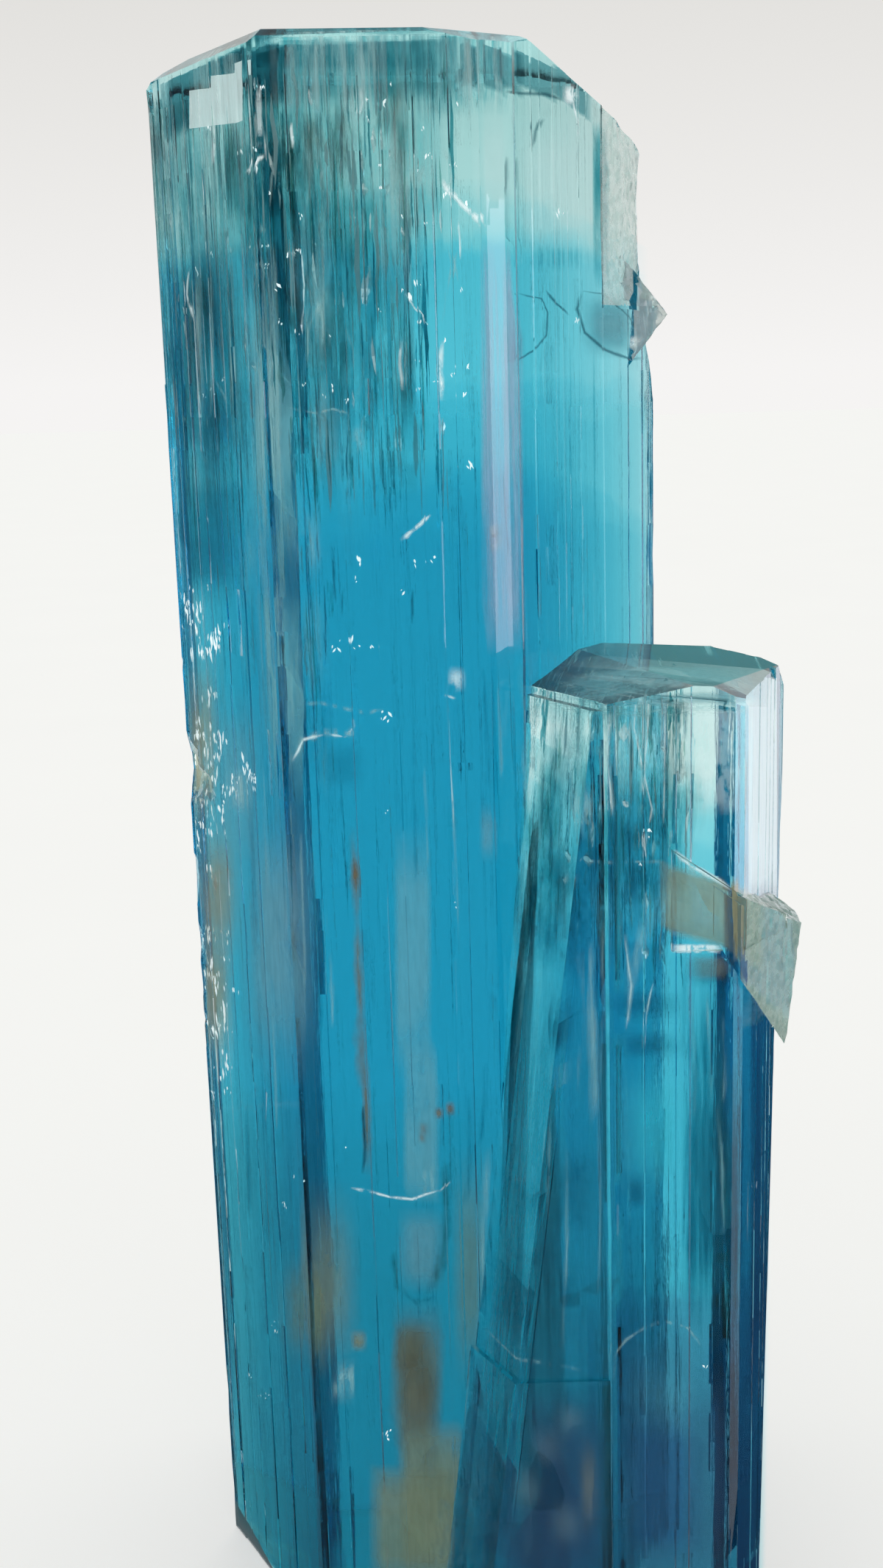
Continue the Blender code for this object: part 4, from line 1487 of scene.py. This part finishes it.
# Cards beside the piece, in layout millimetres: corners, colour, strength, whether it shows through the
# crystal and whether it shows in its reflections. The flags are dark and keep floor and room out of them.
CARDS = (
    ("card_strip", upright((229.0, -128.0), (15.0, 30.0), 80.0, 188.0), LILAC, 3.2, True, True),
    ("card_glow", upright((228.0, -118.0), (16.0, 30.0), 0.5, 78.0), (0.9, 1.0, 1.0), 3.0, True, False),
    ("card_edge", upright((232.0, -98.0), (5.0, 13.0), 22.0, 78.0), LILAC, 4.6, False, True),
    ("card_right", upright((86.0, 50.0), (16.0, -11.0), 58.0, 105.0), (0.95, 0.97, 1.0), 1.6, False, True),
    ("flag_right", upright((86.0, 50.0), (16.0, -11.0), 0.3, 58.0), NAVY, 1.0, False, True),
    ("flag_floor", lying((31.0, -32.0), (75.0, -45.0), (118.0, 40.0), (66.0, 66.0), (34.0, 4.0)),
     NAVY, 1.0, False, True),
    ("flag_tall", upright((140.0, 86.0), (-24.0, 33.0), 30.0, 215.0), (0.10, 0.13, 0.15), 1.0, False, True),
    ("flag_back", upright((56.0, 150.0), (58.0, 0.0), 118.0, 176.0), (0.08, 0.36, 0.38), 1.0, False, True),
    ("flag_left_floor", lying((-175.0, 40.0), (-124.0, 112.0), (-26.0, 16.0), (-22.0, -24.0), (-60.0, -40.0)),
     ROOM, 1.0, False, True),
    ("flag_left", upright((-150.0, 75.0), (26.0, 36.0), 0.5, 215.0), ROOM, 1.0, False, True),
)


def floor_material():
    material, tree, shader = new_material("floor_pale", Roughness=0.7, **glowing(FLOOR_COLOUR, 0.49))
    cloud = grain(tree, (1.0, 1.0, 1.0), Scale=14.0, Detail=3.0)
    tint = ramp(tree, ((0.3, scaled(FLOOR_COLOUR, 0.985)), (0.7, FLOOR_COLOUR)), cloud.outputs["Fac"])
    tree.links.new(tint, shader.inputs["Base Color"])
    return material


def flat_object(name, points, material):
    """One face through these points, in row frame metres."""
    mesh = bpy.data.meshes.new(name)
    mesh.from_pydata(points, [], [tuple(range(len(points)))])
    mesh.materials.append(material)
    made = linked(name, mesh)
    return made


def build_floor():
    reach = FLOOR_REACH
    corners = [(-reach, -reach, 0.0), (reach, -reach, 0.0), (reach, reach, 0.0), (-reach, reach, 0.0)]
    flat_object("floor", corners, floor_material()).location.z = -FLOOR_DROP


def build_cards():
    for name, points, colour, strength, through, mirrored in CARDS:
        black = {"Base Color": (0.0, 0.0, 0.0, 1.0)}
        material = new_material(name, **black, **glowing(colour, strength))[0]
        made = flat_object(name, [world_point(point) for point in points], material)
        made.visible_camera = False
        made.visible_diffuse = False
        made.visible_shadow = False
        made.visible_transmission = through
        made.visible_glossy = mirrored


def ranged(tree, source, low, high):
    """A direction's coordinate brought from this range to 0 to 1."""
    node = add(tree, "ShaderNodeMapRange", **{"From Min": low, "From Max": high})
    tree.links.new(source, node.inputs["Value"])
    return node.outputs[0]


def build_world():
    """Studio light: a bright wall behind and beside the piece, a dimmer room in front, darker straight up."""
    world = bpy.data.worlds.new("studio")
    bpy.context.scene.world = world
    world.use_nodes = True
    world.cycles.sampling_method = "NONE"
    tree = world.node_tree
    tree.nodes.clear()
    out = tree.nodes.new("ShaderNodeOutputWorld")
    sky = tree.nodes.new("ShaderNodeBackground")
    place = tree.nodes.new("ShaderNodeTexCoord")
    split = tree.nodes.new("ShaderNodeSeparateXYZ")
    tree.links.new(place.outputs["Generated"], split.inputs[0])
    depth = ranged(tree, split.outputs["Y"], -1.0, 1.0)
    rise = ranged(tree, split.outputs["Z"], 0.0, 0.22)
    tone = ramp(tree, (
        (0.0, (0.50, 0.53, 0.54)),
        (0.42, (0.56, 0.58, 0.58)),
        (0.60, (0.88, 0.89, 0.88)),
        (0.80, (0.915, 0.91, 0.895)),
    ), depth)
    fall = ramp(tree, ((0.0, grey(1.0)), (1.0, (0.80, 0.80, 0.78))), rise)
    light = add(tree, "ShaderNodeMix", data_type="RGBA", blend_type="MULTIPLY")
    light.inputs[0].default_value = 1.0
    tree.links.new(tone, light.inputs[6])
    tree.links.new(fall, light.inputs[7])
    seen = ramp(tree, ((0.0, (0.915, 0.905, 0.895)), (1.0, (0.745, 0.735, 0.71))), rise)
    ray = tree.nodes.new("ShaderNodeLightPath")
    tree.links.new(blended(tree, ray.outputs["Is Camera Ray"], light.outputs[2], seen), sky.inputs["Color"])
    tree.links.new(sky.outputs[0], out.inputs["Surface"])


def build_camera():
    data = bpy.data.cameras.new("camera")
    data.lens = CAMERA_FOCAL / FRAME_SIZE[1] * SENSOR
    data.sensor_width = SENSOR
    data.clip_start = 0.01
    made = linked("camera", data)
    right, up, forward = camera_axes()
    turn = Matrix((right, up, -forward)).transposed().to_4x4()
    made.matrix_world = Matrix.Translation(world_point(CAMERA_AT)) @ turn
    bpy.context.scene.camera = made


def main():
    scene = bpy.context.scene
    scene.view_settings.view_transform = "Standard"
    scene.cycles.transmission_bounces = 14
    scene.cycles.max_bounces = 16
    scene.cycles.diffuse_bounces = 1
    scene.cycles.transparent_max_bounces = 40
    crystal = part_of_crystal(build_crystal())
    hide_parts(NODE)
    for zone in ZONES:
        build_zone(*zone)
    build_streaks()
    build_sheets()
    build_floor()
    build_cards()
    build_world()
    build_camera()


main()
